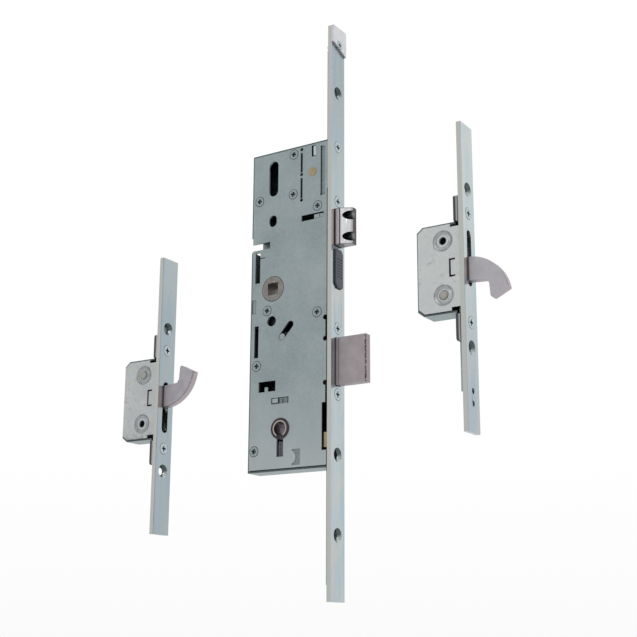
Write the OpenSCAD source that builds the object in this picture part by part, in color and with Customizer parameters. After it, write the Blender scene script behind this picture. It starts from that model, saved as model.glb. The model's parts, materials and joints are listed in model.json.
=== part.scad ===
// Multipoint door lock: a centre case with latch, deadbolt, follower and key bush,
// and two hook units, each on its own length of faceplate strip.
// Origin: the spindle axis at the middle of the case. +X is the way the bolts throw,
// +Z is up, -Y is the side of the case covers. Millimetres.
// Places inside a unit are given from its faceplate front (x), its mid plane (y),
// and from the spindle axis, or a hook case's middle (z).

/* [Faceplate strips] */
// Width of every faceplate strip
strip_w = 16; // [16:0.5:22]
// Thickness of every faceplate strip
strip_t = 3; // [2.5:0.1:3]
// Height of the centre strip above the spindle axis
strip_up = 176; // [172:1:240]
// Depth of the centre strip below the spindle axis
strip_down = 198; // [194:1:260]
// Diameter of the countersink of a door screw hole
door_csk_d = 9; // [8:0.25:9.5]
// Diameter of a door screw hole
door_hole_d = 4.8; // [4.2:0.1:5]

/* [Centre case] */
// Faceplate front to spindle axis
backset = 45; // [44.5:0.5:50]
// Spindle axis to the back of the case
rear_room = 18; // [18:0.5:24]
// Height of the case above the spindle axis
case_up = 95.5; // [95:0.5:104]
// Depth of the case below the spindle axis
case_down = 118.5; // [118:0.5:128]
// Thickness of the case over both plates
case_w = 14.5; // [14.5:0.1:16]
// Thickness of the case sheet
sheet_t = 1.2; // [1:0.05:1.2]

/* [Follower and drive] */
// Side of the spindle square
square_size = 8.1; // [7.1:0.1:9.1]
// Radius of the follower hub
follower_r = 8.5; // [7.8:0.1:8.8]
// Teeth round the follower's full circle
follower_teeth = 25; // [24:1:26]
// Teeth of the reversing pinion
pinion_teeth = 12; // [11:1:13]
// Turn of the follower when the handle is pressed down, degrees
handle_turn = 45; // [30:1:45]
// Thickness of the flat drive slides
slide_t = 1.6; // [1.2:0.1:1.6]
// Thickness of the drive rods
rod_t = 2.5; // [2:0.1:2.5]

/* [Latch and trigger] */
// Height of the latch bolt
latch_h = 24.4; // [20:0.2:24.4]
// Thickness of the latch bolt
latch_t = 8; // [7:0.1:8]
// Throw of the latch bolt from the faceplate
latch_out = 11.3; // [9:0.1:12]
// Height of the trigger pad
trigger_h = 25.5; // [22:0.5:25.5]
// Width of the trigger pad
trigger_w = 8.5; // [8:0.1:10]
// How far the trigger pad stands proud
trigger_out = 1.3; // [1.2:0.1:2]

/* [Deadbolt and key] */
// Height of the deadbolt
bolt_h = 30; // [28:0.5:30]
// Thickness of the deadbolt
bolt_t = 6; // [5.9:0.1:6.4]
// Throw of the deadbolt from the faceplate
bolt_out = 21.9; // [20.5:0.1:24]
// Faceplate front to key axis
key_backset = 38; // [36:0.25:38]
// Radius of the key bush
bush_r = 6.7; // [6.3:0.05:6.9]
// Width of the key slot
key_slot_w = 5; // [4:0.1:5.4]
// Radius of the key bush's bore
key_bore_r = 4.3; // [3.5:0.1:4.6]
// Number of levers
lever_count = 5; // [3:1:5]

/* [Hook units] */
// Height of a hook case
hook_case_h = 56; // [56:0.5:60]
// Depth of a hook case behind the strip
hook_case_d = 29; // [29:0.25:34]
// Thickness of a hook bolt
hook_t = 5.6; // [5:0.1:5.8]
// Height of a hook case's pivot above its middle
pivot_up = 16.8; // [16.6:0.1:17.2]
// Length of a hook strip past its case's middle, on the hook tip's side
hook_strip_tip = 99; // [92:1:130]
// Length of a hook strip past its case's middle, on the other side
hook_strip_heel = 91; // [88:1:130]
// Length of a fastening lug
lug_h = 16.6; // [14:0.2:17]

/* [Placing of the units] */
// Lower hook strip's front from the centre strip's front, along X
lower_dx = -137.5; // [-150:0.1:-120]
// Lower hook case's middle from the spindle axis, along Z
lower_dz = -62.1; // [-90:0.1:-40]
// Upper hook strip's front from the centre strip's front, along X
upper_dx = 91.8; // [80:0.1:120]
// Upper hook case's middle from the spindle axis, along Z
upper_dz = -5.9; // [-30:0.1:20]

/* [Fits] */
// Radial clearance of a shaft in its bearing
shaft_gap = 0.05; // [0.03:0.01:0.1]
// Clearance of a sliding piece in its opening
slide_gap = 0.15; // [0.12:0.01:0.2]
// Clearance between flat layers that pass each other
layer_gap = 0.25; // [0.2:0.01:0.3]

/* [Hidden] */
$fn = 64;

// Colours
zinc = [0.62, 0.67, 0.67];
bright_zinc = [0.74, 0.78, 0.81];
sintered = [0.60, 0.56, 0.57];
cast_grey = [0.70, 0.69, 0.71];
dark_steel = [0.33, 0.33, 0.35];
spring_steel = [0.48, 0.48, 0.50];
brass = [0.76, 0.66, 0.45];
moulded = [0.24, 0.26, 0.31];

eps = 0.01;
back_x = -strip_t;
rear_x = -(backset + rear_room);
half_w = case_w / 2;
inner_y = half_w - sheet_t;
inner_rear_x = rear_x + sheet_t;
rim_inset = sheet_t + 0.3;
rim_edge_y = -half_w + 1;

// Drive rods run just behind the strips, slides in a layer against the far plate
rod_x1 = back_x - 0.3;
rod_x0 = rod_x1 - rod_t;
rod_half_y = 4;
channel_x = rod_x0 - 0.3;
channel_half_y = rod_half_y + 0.3;
slide_y1 = inner_y - layer_gap;
slide_y0 = slide_y1 - slide_t;
column_x1 = back_x - 0.6;
column_x0 = column_x1 - 3.8;
rod_slot_w = door_hole_d + 0.4;
rod_screw_gap = 2.8;
block_y1 = slide_y0 - 0.3;

// Each slide has a tongue that sits in a notch of its rod, at these heights
lower_tongue_z = [18.5 - case_down, 22.5 - case_down];
upper_tongue_z = [70, 74];
hook_tongue_z = [13, 15.5];
tongue_gap = 0.1;
tongue_y0 = slide_y0 - 1.8;

// Gears: all of one module, involute on the wheels and straight on the racks
gear_m = 1;
pressure = 20;
backlash = 0.2;
wheel_add = 0.85 * gear_m;
wheel_ded = 1.1 * gear_m;
rack_add = 0.68 * gear_m;
rack_ded = 1.2 * gear_m;
follower_pitch_r = follower_teeth * gear_m / 2;
pinion_pitch_r = pinion_teeth * gear_m / 2;
bush_teeth = 13;
bush_pitch_r = bush_teeth * gear_m / 2;
drive_travel = follower_pitch_r * handle_turn * PI / 180;
bolt_travel = bush_pitch_r * PI;

follower_x = -backset;
pinion_x = back_x - 12;
pinion_z = 2;
pinion_bore_r = 2;
lower_rack_x = pinion_x - pinion_pitch_r;
upper_rack_x = pinion_x + pinion_pitch_r;
drive_rack_x = follower_x + follower_pitch_r;

// Screws of the cover, their posts, and the screws and holes of the strip
post_r = 3;
spring_post_z = -50.1;
cover_screws = [
  [-29.7, case_up - 5.5], [rear_x + 6.3, 62.1], [-30, 62.1], [back_x - 8, 50.7],
  [follower_x - 4.35, -14.2], [back_x - 8, -20.3], [rear_x + 6.1, spring_post_z],
  [rear_x + 5.2, 13.4 - case_down]
];
cover_screw_r = 1.45;
cover_head_r = 3.1;
cover_head_t = 0.85;
cover_head_gap = 0.35;
case_screw_z = [case_up - 4.5, 53.35, -31.1, -73.1];
block_half_h = 3.25;
door_hole_z = [129.25, -110.5, -159];
face_screw_r = 1.9;
face_head_r = 3.75;
head_gap = 0.2;
thread_gap = 0.05;

// Strap that joins the next length of strip on at the top
strap_z = strip_up - 18;
strap_t = 1.5;
strap_screw_z = strip_up - 12;
strap_head_r = 2.9;

// Latch
latch_z = 35.2;
latch_tail_r = 2.5;
latch_rear_x = back_x - 9;
latch_leg_x = follower_x - 3.1;
latch_leg_t = 1.8;
latch_bevel_x = 4.1;
latch_bore_r = 3;
latch_bore_dz = 7.1;
groove_depth = 0.4;
guide_x = follower_x + 13;
guide_t = 1.8;
latch_spring_r = 3.4;
latch_wire = 0.8;
arm_r = 16.26;
arm_w = 5;

// Trigger
trigger_z = 7.75;
trigger_back_x = back_x + 0.8;
trigger_stem_x = back_x - 9;
trigger_stem_half_h = 4.25;
rib_half_y = 2.9;
seat_x = back_x - 15.9;
seat_t = 1.5;

// Deadbolt, key bush and levers
bolt_z = -52.5;
key_x = -key_backset;
key_z = -92;
bush_layer = [0.3, 2.9];
bolt_rack_z = key_z + bush_pitch_r;
bolt_rear_x = back_x - 29.5;
lever_t = 0.85;
lever_pitch = 1;
lever_first_y = -inner_y + 0.65;
lever_pivot_at = [key_x - 16, -79];
lever_pivot_r = 2;
lever_bar_z = [-84.4, -71.5];
stump_at = [key_x + 11, -78];
stump_r = 1.5;
belly_r = bush_r + 0.5;
antithrust_at = [-37.6, -32.9];
antithrust_end = [-31.1, -25.6];
antithrust_r = 2.2;
rivet_at = [-14.9, 75];
rivet_r = 2.9;

// Handle fixing sleeve and the follower's return spring
fixing_at = [follower_x - 0.7, -21.6];
fixing_r = 3.4;
sleeve_wall = 0.8;
return_x = follower_x - 12;
coil_r = 2;
coil_wire = 0.8;

// Hook units
hook_rear_x = back_x - hook_case_d;
hook_half_h = hook_case_h / 2;
hook_pivot_at = [-14, pivot_up];
hook_pin_at = hook_pivot_at + [-7, -4.9];
hook_pin_r = 1.5;
hook_pivot_r = 2.95;
hook_plain_hole_r = 2.25;
hook_head_r = 3.2;
boss_groove_r = [4, 6.1];
boss_groove_depth = 0.5;
hook_slide_y = [hook_t / 2 + 0.4, inner_y - 0.45];
hook_slot_z = [pivot_up - 37, pivot_up - 8.1];
hook_rod_z = [hook_tongue_z[0] - 0.7, hook_half_h + 46.8];
lug_screw_z = hook_half_h + 5.8;
hook_door_z = hook_half_h + 21;
lug_x = back_x - 4.2;
link_hole_r = 1.7;

// The hook's nose as points from its pivot; a circle rounds its back
hook_nose = [
  [-4.5, -4.6], [14, -22.5], [14.5, -28.8], [44, -28.8], [44, -2.95], [29, 4.4],
  [27.9, 3.2], [27.2, -4.8], [25.5, -7.2], [14, -8], [7.5, -7.6], [5.1, -4.1], [0, 0]
];
hook_back_at = [13.6, 3.1];
hook_back_r = 25.63;

// Details punched right through the case cover, as [x from, x to], [z from, z to]
dot_x = -23.5;
dot_z = [case_up - 3.3, 74.6, 56.9];
dot_r = 1.1;
edge_hole_z = [-24.4, -38.1, -66.1];
edge_hole_r = 1.6;
cover_windows = [
  // Fine slots between the dots
  [[dot_x - 0.65, dot_x + 0.65], [76.1, 89.7]],
  [[dot_x - 0.65, dot_x + 0.65], [58.2, 72.2]],
  // Small window whose tab is left on its right side
  [[-15.7, -14.3], [85.4, 93.2]],
  [[-14.4, -12.6], [85.4, 85.9]],
  [[-14.4, -12.6], [92.7, 93.2]],
  // Stepped slot above the latch
  [[-23.3, -13.5], [42, 46]],
  [[-13.6, -6.4], [45, 46]],
  // Rear slots over the moving pieces
  [[rear_x + 3.8, rear_x + 7.6], [5.4, 26.4]],
  [[rear_x + 7.3, rear_x + 11.6], [22, 22.6]],
  [[rear_x + 4, rear_x + 7.2], [-44.6, -23.5]],
  // Front edge cut back between its holes, and the window over the drive coupling
  [[back_x - 1.7, 0], [edge_hole_z[1], edge_hole_z[0]]],
  [[back_x - 1.7, 0], [-79, edge_hole_z[2]]],
  [[back_x - 4.2, 0], [10.6 - case_down, -78.4]]
];
// Window over the lever springs, with two tabs left at its foot
spring_window = [[-55, -42], [-67.6, -60.8]];
spring_window_tab = [[-50.2, -47.8], [-68, -64.6]];

// Fields pressed a little into the cover, given as the windows are
mark_depth = 0.35;
cover_marks = [
  // Long strip beside its score line, and the field below the stepped slot
  [[-7.8, -6.3], [57.9, 91]],
  [[-9.5, -6.4], [42.9, 45.1]],
  [[rear_x + 1.9, rear_x + 4.4], [-14.6, -5.7]]
];
// Score lines, deeper than the fields
line_depth = 0.8;
cover_lines = [
  // Beside the long strip
  [[-8.6, -7.7], [57.9, 91]],
  // Two press marks that hang from one line above the key bush
  [[-44.9, -32], [-72.6, -72.1]],
  [[-44.9, -44.3], [-76, -72]],
  [[-39.8, -38.5], [-76, -72]],
  [[-44.9, -38.5], [-76, -75.4]],
  [[-36.3, -35.7], [-76, -73.2]],
  [[-32.6, -32], [-76, -72]]
];
line_end_r = 0.75;
foot_mark = [[-28.9, -22.9], [2.9 - case_down, 12.7 - case_down]];
foot_mark_bite = [-30.6, 7.8 - case_down];

// Slots of a hook cover round its tab
hook_windows = [
  [[-10.2, -9], [-5.2, 6.2]], [[-9.1, -6.2], [-5.2, -4.1]], [[-9.1, -6.2], [5.1, 6.2]]
];

// A flat shape drawn in X and Z, standing between two Y values
module plate(y0, y1) {
  translate([0, y1, 0]) rotate([90, 0, 0]) linear_extrude(y1 - y0) children();
}

// A flat shape drawn in Y and Z, standing between two X values
module along_x(x0, x1) {
  translate([x0, 0, 0]) rotate([90, 0, 90]) linear_extrude(x1 - x0) children();
}

module span(x, y, z) {
  translate([x[0], y[0], z[0]]) cube([x[1] - x[0], y[1] - y[0], z[1] - z[0]]);
}

module span2d(x, z) {
  translate([x[0], z[0]]) square([x[1] - x[0], z[1] - z[0]]);
}

module pin_y(at, r, y0, y1) {
  translate([at[0], y1, at[1]]) rotate([90, 0, 0]) cylinder(r = r, h = y1 - y0);
}

module pin_x(y, z, r, x0, x1) {
  translate([x0, y, z]) rotate([0, 90, 0]) cylinder(r = r, h = x1 - x0);
}

// A slot with round ends between two centres; its sides cut the end circles cleanly
module slot2d(p, q, w) {
  d = q - p;
  side = w - eps;
  translate(p) {
    circle(d = w);
    rotate(atan2(d[1], d[0])) translate([0, -side / 2]) square([norm(d), side]);
  }
  translate(q) circle(d = w);
}

module rounded2d(x, z, r) {
  span2d([x[0] + r, x[1] - r], z);
  span2d(x, [z[0] + r, z[1] - r]);
  for (cx = [x[0] + r, x[1] - r], cz = [z[0] + r, z[1] - r])
    translate([cx, cz]) circle(r = r);
}

module ring_y(at, r_in, r_out, y0, y1) {
  difference() {
    pin_y(at, r_out, y0, y1);
    pin_y(at, r_in, y0 - 1, y1 + 1);
  }
}

// Countersunk hole through a strip, from its front
module countersunk_hole(z, csk_r, hole_r) {
  translate([eps, 0, z]) rotate([0, -90, 0]) cylinder(r1 = csk_r, r2 = hole_r, h = csk_r - hole_r);
  pin_x(0, z, hole_r, back_x - 1, 1);
}

// Flush screw with a countersunk, cross recessed head, pointing along -X
module flush_screw(z, length) {
  difference() {
    union() {
      translate([0, 0, z]) rotate([0, -90, 0])
        cylinder(r1 = face_head_r, r2 = face_screw_r, h = face_head_r - face_screw_r);
      pin_x(0, z, face_screw_r, -length, -1);
    }
    for (turn = [0, 90])
      translate([0, 0, z]) rotate([turn, 0, 0]) span([-1.1, 1], [-0.5, 0.5], [-1.9, 1.9]);
  }
}

function polar(r, a) = [r * cos(a), r * sin(a)];
function involute(a) = tan(a) * 180 / PI - a;

// Half angle of a wheel tooth at radius r
function tooth_half(n, r) =
  let (rp = n * gear_m / 2, rb = rp * cos(pressure))
  (PI * gear_m / 2 - backlash) / 2 / rp * 180 / PI + involute(pressure)
  - involute(acos(min(1, rb / r)));

function tooth_points(n, a) =
  let (
    rp = n * gear_m / 2,
    r0 = max(rp * cos(pressure), rp - wheel_ded),
    step = (rp + wheel_add - r0) / 4,
    foot = rp - wheel_ded - 0.3
  )
  concat(
    [polar(foot, a - tooth_half(n, r0))],
    [for (i = [0:4]) polar(r0 + i * step, a - tooth_half(n, r0 + i * step))],
    [for (i = [4:-1:0]) polar(r0 + i * step, a + tooth_half(n, r0 + i * step))],
    [polar(foot, a + tooth_half(n, r0))]
  );

// Wheel of n teeth; one tooth stands at angle 0, teeth from one angle to the other
module wheel2d(n, from = 0, to = 359) {
  circle(r = n * gear_m / 2 - wheel_ded);
  for (k = [ceil(from * n / 360):floor(to * n / 360)]) polygon(tooth_points(n, k * 360 / n));
}

// Teeth of a rack along +X with its pitch line at y = 0, teeth pointing to +Y;
// a gap stands at x = 0
module rack_teeth2d(from, to) {
  pitch = PI * gear_m;
  half = pitch / 4 - backlash / 2;
  slope = tan(pressure);
  for (k = [ceil(from / pitch - 0.5):floor(to / pitch - 0.5)])
    translate([(k + 0.5) * pitch, 0])
      polygon([
        [-half - rack_ded * slope, -rack_ded - 0.3], [-half - rack_ded * slope, -rack_ded],
        [-half + rack_add * slope, rack_add], [half - rack_add * slope, rack_add],
        [half + rack_ded * slope, -rack_ded], [half + rack_ded * slope, -rack_ded - 0.3]
      ]);
}

// Helical spring along +Z: one tube, a ring of six points at each step
module helix(r, wire, length, turns) {
  per_turn = 10;
  sides = 6;
  n = turns * per_turn;
  centres = [for (i = [0:n]) concat(polar(r, 360 * i / per_turn), [wire / 2 + (length - wire) * i / n])];
  points = [
    for (i = [0:n], j = [0:sides - 1])
      let (a = 360 * i / per_turn, b = 360 * j / sides)
      centres[i] + wire / 2 * [cos(a) * cos(b), sin(a) * cos(b), sin(b)]
  ];
  walls = [
    for (i = [0:n - 1], j = [0:sides - 1])
      let (k = (j + 1) % sides, p = i * sides, q = (i + 1) * sides)
      each [[p + j, q + j, q + k], [p + j, q + k, p + k]]
  ];
  caps = [
    for (j = [1:sides - 2]) each [[0, j, j + 1], [n * sides, n * sides + j + 1, n * sides + j]]
  ];
  gaps = [for (i = [0:n - per_turn]) norm(centres[i + per_turn] - centres[i]) - wire];
  echo(spring_turns = turns, least_gap_mm = min(gaps));
  polyhedron(points, concat(walls, caps));
}

// Cross recess in a cover screw's head
module cover_recess(at) {
  for (turn = [0, 90])
    translate([at[0], -half_w, at[1]]) rotate([0, turn + 10, 0])
      translate([-1.7, -1, -0.45]) cube([3.4, 1.75, 0.9]);
}

// Centre case

module centre_faceplate() {
  color(bright_zinc) difference() {
    span([back_x, 0], [-strip_w / 2, strip_w / 2], [-strip_down, strip_up]);
    along_x(back_x - 1, 1) union() {
      span2d([-latch_t / 2 - slide_gap, latch_t / 2 + slide_gap],
             [latch_z - latch_h / 2 - slide_gap, latch_z + latch_h / 2 + slide_gap]);
      trigger_outline2d(slide_gap);
      span2d([-bolt_t / 2 - slide_gap, bolt_t / 2 + slide_gap],
             [bolt_z - bolt_h / 2 - slide_gap, bolt_z + bolt_h / 2 + slide_gap]);
    }
    for (z = case_screw_z) countersunk_hole(z, face_head_r + head_gap, face_screw_r + head_gap);
    for (z = door_hole_z) countersunk_hole(z, door_csk_d / 2, door_hole_d / 2);
    pin_x(0, strap_screw_z, face_screw_r + head_gap, back_x - 1, 1);
  }
}

module joint_strap() {
  color(bright_zinc) difference() {
    along_x(0, strap_t) polygon([
      [-strip_w / 2, strap_z + 6], [-strip_w / 2, strip_up],
      [strip_w / 2, strip_up], [strip_w / 2, strap_z]
    ]);
    translate([strap_t, 0, 0]) countersunk_hole(strap_screw_z, strap_head_r + 0.3, face_screw_r + head_gap);
  }
}

module joint_screw() {
  color(cast_grey) translate([strap_t - 0.1, 0, 0]) difference() {
    union() {
      translate([0, 0, strap_screw_z]) rotate([0, -90, 0])
        cylinder(r1 = strap_head_r, r2 = face_screw_r, h = strap_head_r - face_screw_r);
      pin_x(0, strap_screw_z, face_screw_r, -strap_t - strip_t - 4.2, -0.5);
    }
    for (turn = [0, 90])
      translate([0, 0, strap_screw_z]) rotate([turn, 0, 0]) span([-0.9, 1], [-0.4, 0.4], [-1.5, 1.5]);
  }
}

// Slots that both plates have, for the screws of different door handles
module handle_slots2d() {
  slot2d([-45.6, 67.45], [-45.6, 84.85], 7.3);
  slot2d([-45.7, 45.5], [-45.7, 47.5], 5.9);
  translate(fixing_at) circle(r = fixing_r);
}

// Bearings of the follower and the key bush, with the key slot below the bush
module bearings2d() {
  translate([follower_x, 0]) circle(r = follower_r + shaft_gap);
  translate([key_x, key_z]) circle(r = bush_r + shaft_gap);
  slot_foot = key_z - 17.7;
  span2d([key_x - key_slot_w / 2, key_x + key_slot_w / 2], [slot_foot, key_z]);
}

// The cover's front edge steps forward towards the head of the case
module cover_outline2d() {
  step_z = 61.4;
  span2d([rear_x + rim_inset, back_x - 0.9], [-case_down + rim_inset, case_up - rim_inset]);
  span2d([back_x - 1, back_x - 0.1], [step_z, case_up - rim_inset]);
}

// Cuts right through the cover
module cover_cuts2d() {
  bearings2d();
  handle_slots2d();
  span2d([rear_x - 1, rear_x + 15.2], [28.1, 32.6]);
  for (z = dot_z) translate([dot_x, z]) circle(r = dot_r);
  for (w = cover_windows) span2d(w[0], w[1]);
  for (z = edge_hole_z) translate([back_x - 1.9, z]) circle(r = edge_hole_r);
  slot2d(antithrust_at, antithrust_end, 2 * antithrust_r + 0.4);
  difference() {
    span2d(spring_window[0], spring_window[1]);
    span2d(spring_window_tab[0], spring_window_tab[1]);
  }
  for (at = cover_screws) translate(at) circle(r = cover_screw_r + 0.15);
  translate(rivet_at) circle(r = rivet_r + shaft_gap);
}

module cover_marks2d() {
  for (w = cover_marks) span2d(w[0], w[1]);
  difference() {
    span2d(foot_mark[0], foot_mark[1]);
    translate(foot_mark_bite) circle(r = 4.4);
  }
}

module cover_lines2d() {
  for (w = cover_lines) span2d(w[0], w[1]);
  for (z = cover_lines[0][1]) translate([cover_lines[0][0][0] + 0.4, z]) circle(r = line_end_r);
}

module case_cover() {
  color(zinc) difference() {
    plate(-half_w, -inner_y) difference() {
      cover_outline2d();
      cover_cuts2d();
    }
    for (at = cover_screws) pin_y(at, cover_head_r + cover_head_gap, -half_w - 1, -half_w + cover_head_t);
    plate(-half_w - 1, -half_w + mark_depth) cover_marks2d();
    plate(-half_w - 1, -half_w + line_depth) cover_lines2d();
  }
}

module case_tray() {
  color(zinc) plate(inner_y, half_w) difference() {
    span2d([rear_x, back_x], [-case_down, case_up]);
    bearings2d();
    handle_slots2d();
  }
}

// Rim folded up from the tray at its rear, head and foot, with a gap in its rear wall;
// the cover lies inside it
module case_rim() {
  color(zinc) difference() {
    plate(rim_edge_y, inner_y) difference() {
      span2d([rear_x, back_x], [-case_down, case_up]);
      span2d([inner_rear_x, back_x + 1], [-case_down + sheet_t, case_up - sheet_t]);
    }
    span([rear_x - 1, inner_rear_x + 1], [-half_w - 1, inner_y], [27.6, 37.4]);
    for (z = [-case_down - 1, case_up - sheet_t - 1])
      span([channel_x, back_x + 1], [-channel_half_y, slide_y1 + 0.1], [z, z + sheet_t + 2]);
  }
}

module case_screws() {
  color(cast_grey) for (at = cover_screws) difference() {
    union() {
      pin_y(at, cover_head_r, -half_w - 0.1, -half_w + cover_head_t);
      pin_y(at, cover_screw_r, -half_w + 0.2, -inner_y + 5);
    }
    cover_recess(at);
  }
}

module case_posts() {
  color(spring_steel) for (at = cover_screws) difference() {
    pin_y(at, post_r, -inner_y, inner_y);
    pin_y(at, cover_screw_r + thread_gap, -inner_y - 1, -inner_y + 6);
  }
}

module fixing_sleeve() {
  color(spring_steel) ring_y(fixing_at, fixing_r, fixing_r + sleeve_wall, -inner_y, inner_y);
}

// Threaded blocks between the plates that take the strip's case screws
module front_blocks() {
  module block(x, screw_z) {
    difference() {
      span(x, [-inner_y, block_y1], [screw_z - block_half_h, screw_z + block_half_h]);
      pin_x(0, screw_z, face_screw_r + thread_gap, x[0] - 1, x[1] + 1);
    }
  }
  color(spring_steel) {
    block([channel_x - 4.4, channel_x], case_screw_z[0]);
    for (i = [1:3]) block([back_x - 4.6, back_x - 0.2], case_screw_z[i]);
  }
}

module faceplate_screws() {
  color(cast_grey) {
    flush_screw(case_screw_z[0], -channel_x + 4.1);
    for (i = [1:3]) flush_screw(case_screw_z[i], strip_t + 4.4);
  }
}

module brass_rivet() {
  color(brass) union() {
    pin_y(rivet_at, rivet_r, -half_w - 0.2, -inner_y + 0.4);
    pin_y(rivet_at, rivet_r + 1.1, -inner_y, -inner_y + 1);
  }
}

// Handle follower: hub with the spindle square, an arm for the latch, a lug for the
// return spring, and a toothed sector in the layer of the slides
module follower() {
  hub_half = half_w + 0.05;
  color([0.50, 0.47, 0.45]) translate([follower_x, 0, 0]) difference() {
    union() {
      pin_y([0, 0], follower_r, -hub_half, hub_half);
      plate(-2.5, 2.5) slot2d([0, 0], [0, arm_r], arm_w);
      plate(-2.5, 2.5) slot2d([0, 0], polar(11, 188), 5);
      plate(slide_y0, slide_y1) intersection() {
        wheel2d(follower_teeth, -68, 22);
        polygon([[0, 0], polar(20, -72), polar(20, -20), polar(20, 26)]);
      }
    }
    plate(-half_w - 1, half_w + 1) square(square_size, center = true);
  }
}

// The spring stands on the post below it and pushes the follower's lug up
module handle_spring() {
  foot = spring_post_z + post_r + 0.15;
  top = -4.25;
  color(spring_steel) translate([return_x, 0, foot])
    helix(coil_r, coil_wire, top - foot, 14);
}

// Slide behind the follower; its racks mesh with the follower and the pinion
module lower_slide() {
  body_x0 = drive_rack_x + rack_ded;
  body_x1 = lower_rack_x - rack_ded;
  bridge_z = [-46, -36];
  color(dark_steel) union() {
    plate(slide_y0, slide_y1) union() {
      span2d([body_x0, body_x1], [bridge_z[1] - 1, 7]);
      translate([drive_rack_x, 0]) rotate(90) rack_teeth2d(-15, 5);
      translate([lower_rack_x, pinion_z]) rotate(90) mirror([0, 1]) rack_teeth2d(-14, 4);
      span2d([body_x0, column_x1], bridge_z);
      span2d([column_x0, column_x1], [6.5 - case_down, bridge_z[0] + 1]);
    }
    span([rod_x0 + 0.3, rod_x1 - 0.3], [tongue_y0, slide_y0 + 0.5], lower_tongue_z);
  }
}

// Length of drive rod with long holes round the screws that cross it
module rod(z, screws, tongue_z) {
  difference() {
    span([rod_x0, rod_x1], [-rod_half_y, slide_y0 - 0.05], z);
    for (s = screws) along_x(rod_x0 - 1, rod_x1 + 1)
      slot2d([0, s[0] + rod_slot_w / 2], [0, s[1] - rod_slot_w / 2], rod_slot_w);
    span([rod_x0 - 1, rod_x1 + 1], [tongue_y0 - 0.2, slide_y0 + 1],
         [tongue_z[0] - tongue_gap, tongue_z[1] + tongue_gap]);
  }
}

module lower_rod() {
  room = [-drive_travel - rod_screw_gap, rod_screw_gap];
  screws = [for (i = [1, 2]) [door_hole_z[i], door_hole_z[i]] + room];
  color(cast_grey) rod([10 - strip_down, lower_tongue_z[1] + 9], screws, lower_tongue_z);
}

// Brass piece fixed to the lower rod, seen in the window of the cover
module brass_coupling() {
  color(brass) span([rod_x0 - 0.7, rod_x1 - 0.6], [-rod_half_y - 1.9, -rod_half_y],
                    [lower_tongue_z[0] - 6, lower_tongue_z[1] - 0.7]);
}

module upper_slide() {
  color(dark_steel) union() {
    plate(slide_y0, slide_y1) union() {
      span2d([upper_rack_x + rack_ded, column_x1], [-2.5, 18]);
      translate([upper_rack_x, pinion_z]) rotate(90) rack_teeth2d(-4, 14);
      span2d([column_x0, column_x1], [17, upper_tongue_z[1] + 12]);
    }
    span([rod_x0 + 0.3, rod_x1 - 0.3], [tongue_y0, slide_y0 + 0.5], upper_tongue_z);
  }
}

module upper_rod() {
  room = [-rod_screw_gap, drive_travel + rod_screw_gap];
  screws = [for (z = [case_screw_z[0], door_hole_z[0]]) [z, z] + room];
  color(cast_grey) rod([upper_tongue_z[0] - 2.5, strap_screw_z - 4], screws, upper_tongue_z);
}

module reversing_pinion() {
  color(sintered) translate([pinion_x, 0, pinion_z]) plate(slide_y0, slide_y1) difference() {
    wheel2d(pinion_teeth);
    circle(r = pinion_bore_r);
  }
}

module pinion_stud() {
  at = [pinion_x, pinion_z];
  color(spring_steel) union() {
    pin_y(at, pinion_bore_r - shaft_gap, slide_y0 - 0.15, inner_y);
    pin_y(at, 3.2, slide_y0 - 1.2, slide_y0 - 0.15);
  }
}

// Latch bolt: bevelled head with two bores, a tail rod and a leg for the follower's arm
module latch_bolt() {
  z0 = latch_z - latch_h / 2;
  z1 = latch_z + latch_h / 2;
  half = latch_t / 2;
  color(cast_grey) difference() {
    union() {
      translate([0, 0, z0]) linear_extrude(latch_h) polygon([
        [latch_rear_x, -half], [latch_bevel_x, -half],
        [latch_out, 0], [latch_out, half], [latch_rear_x, half]
      ]);
      pin_x(0, latch_z, latch_tail_r, latch_leg_x - latch_leg_t, latch_rear_x + 1);
      span([latch_leg_x - latch_leg_t, latch_leg_x], [-2.5, 2.5], [9.7, latch_z + 2.8]);
    }
    for (z = [latch_z - latch_bore_dz, latch_z + latch_bore_dz])
      pin_x(-0.3, z, latch_bore_r, latch_bevel_x + 0.3, latch_out + 1);
    span([latch_bevel_x - 0.8, latch_bevel_x], [-half - 1, -half + groove_depth], [z0 - 1, z1 + 1]);
  }
}

module latch_guide() {
  color(spring_steel) difference() {
    span([guide_x, guide_x + guide_t], [-inner_y, block_y1 + 0.1], [latch_z - 8.2, latch_z + 7.8]);
    pin_x(0, latch_z, latch_tail_r + 0.08, guide_x - 1, guide_x + 3);
  }
}

module latch_spring() {
  start = guide_x + guide_t + 0.1;
  length = latch_rear_x - 0.1 - start;
  color(spring_steel) translate([start, 0, latch_z]) rotate([0, 90, 0])
    helix(latch_spring_r, latch_wire, length, 7);
}

// The pad's outline, or its opening in the strip with some clearance: one square corner,
// two cut off and one rounded
module trigger_outline2d(gap) {
  y = trigger_w / 2 + gap;
  z0 = trigger_z - trigger_h / 2 - gap;
  z1 = trigger_z + trigger_h / 2 + gap;
  polygon([
    [2.5 - y, z0], [y - 1.5, z0], [y - 0.45, z0 + 0.45], [y, z0 + 1.5],
    [y, z1 - 2.4], [y - 2, z1], [0.4 - y, z1], [-y, z1 - 0.4], [-y, z0 + 3]
  ]);
}

module trigger_pad() {
  color(moulded) difference() {
    union() {
      along_x(trigger_back_x, trigger_out) trigger_outline2d(0);
      span([trigger_stem_x, trigger_back_x + 0.1], [-3, 2.8],
           [trigger_z - trigger_stem_half_h, trigger_z + trigger_stem_half_h]);
    }
    for (z = [trigger_z - 6:2:trigger_z + 6])
      span([trigger_out - 0.3, trigger_out + 1], [-rib_half_y, rib_half_y], [z, z + 0.6]);
  }
}

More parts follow.
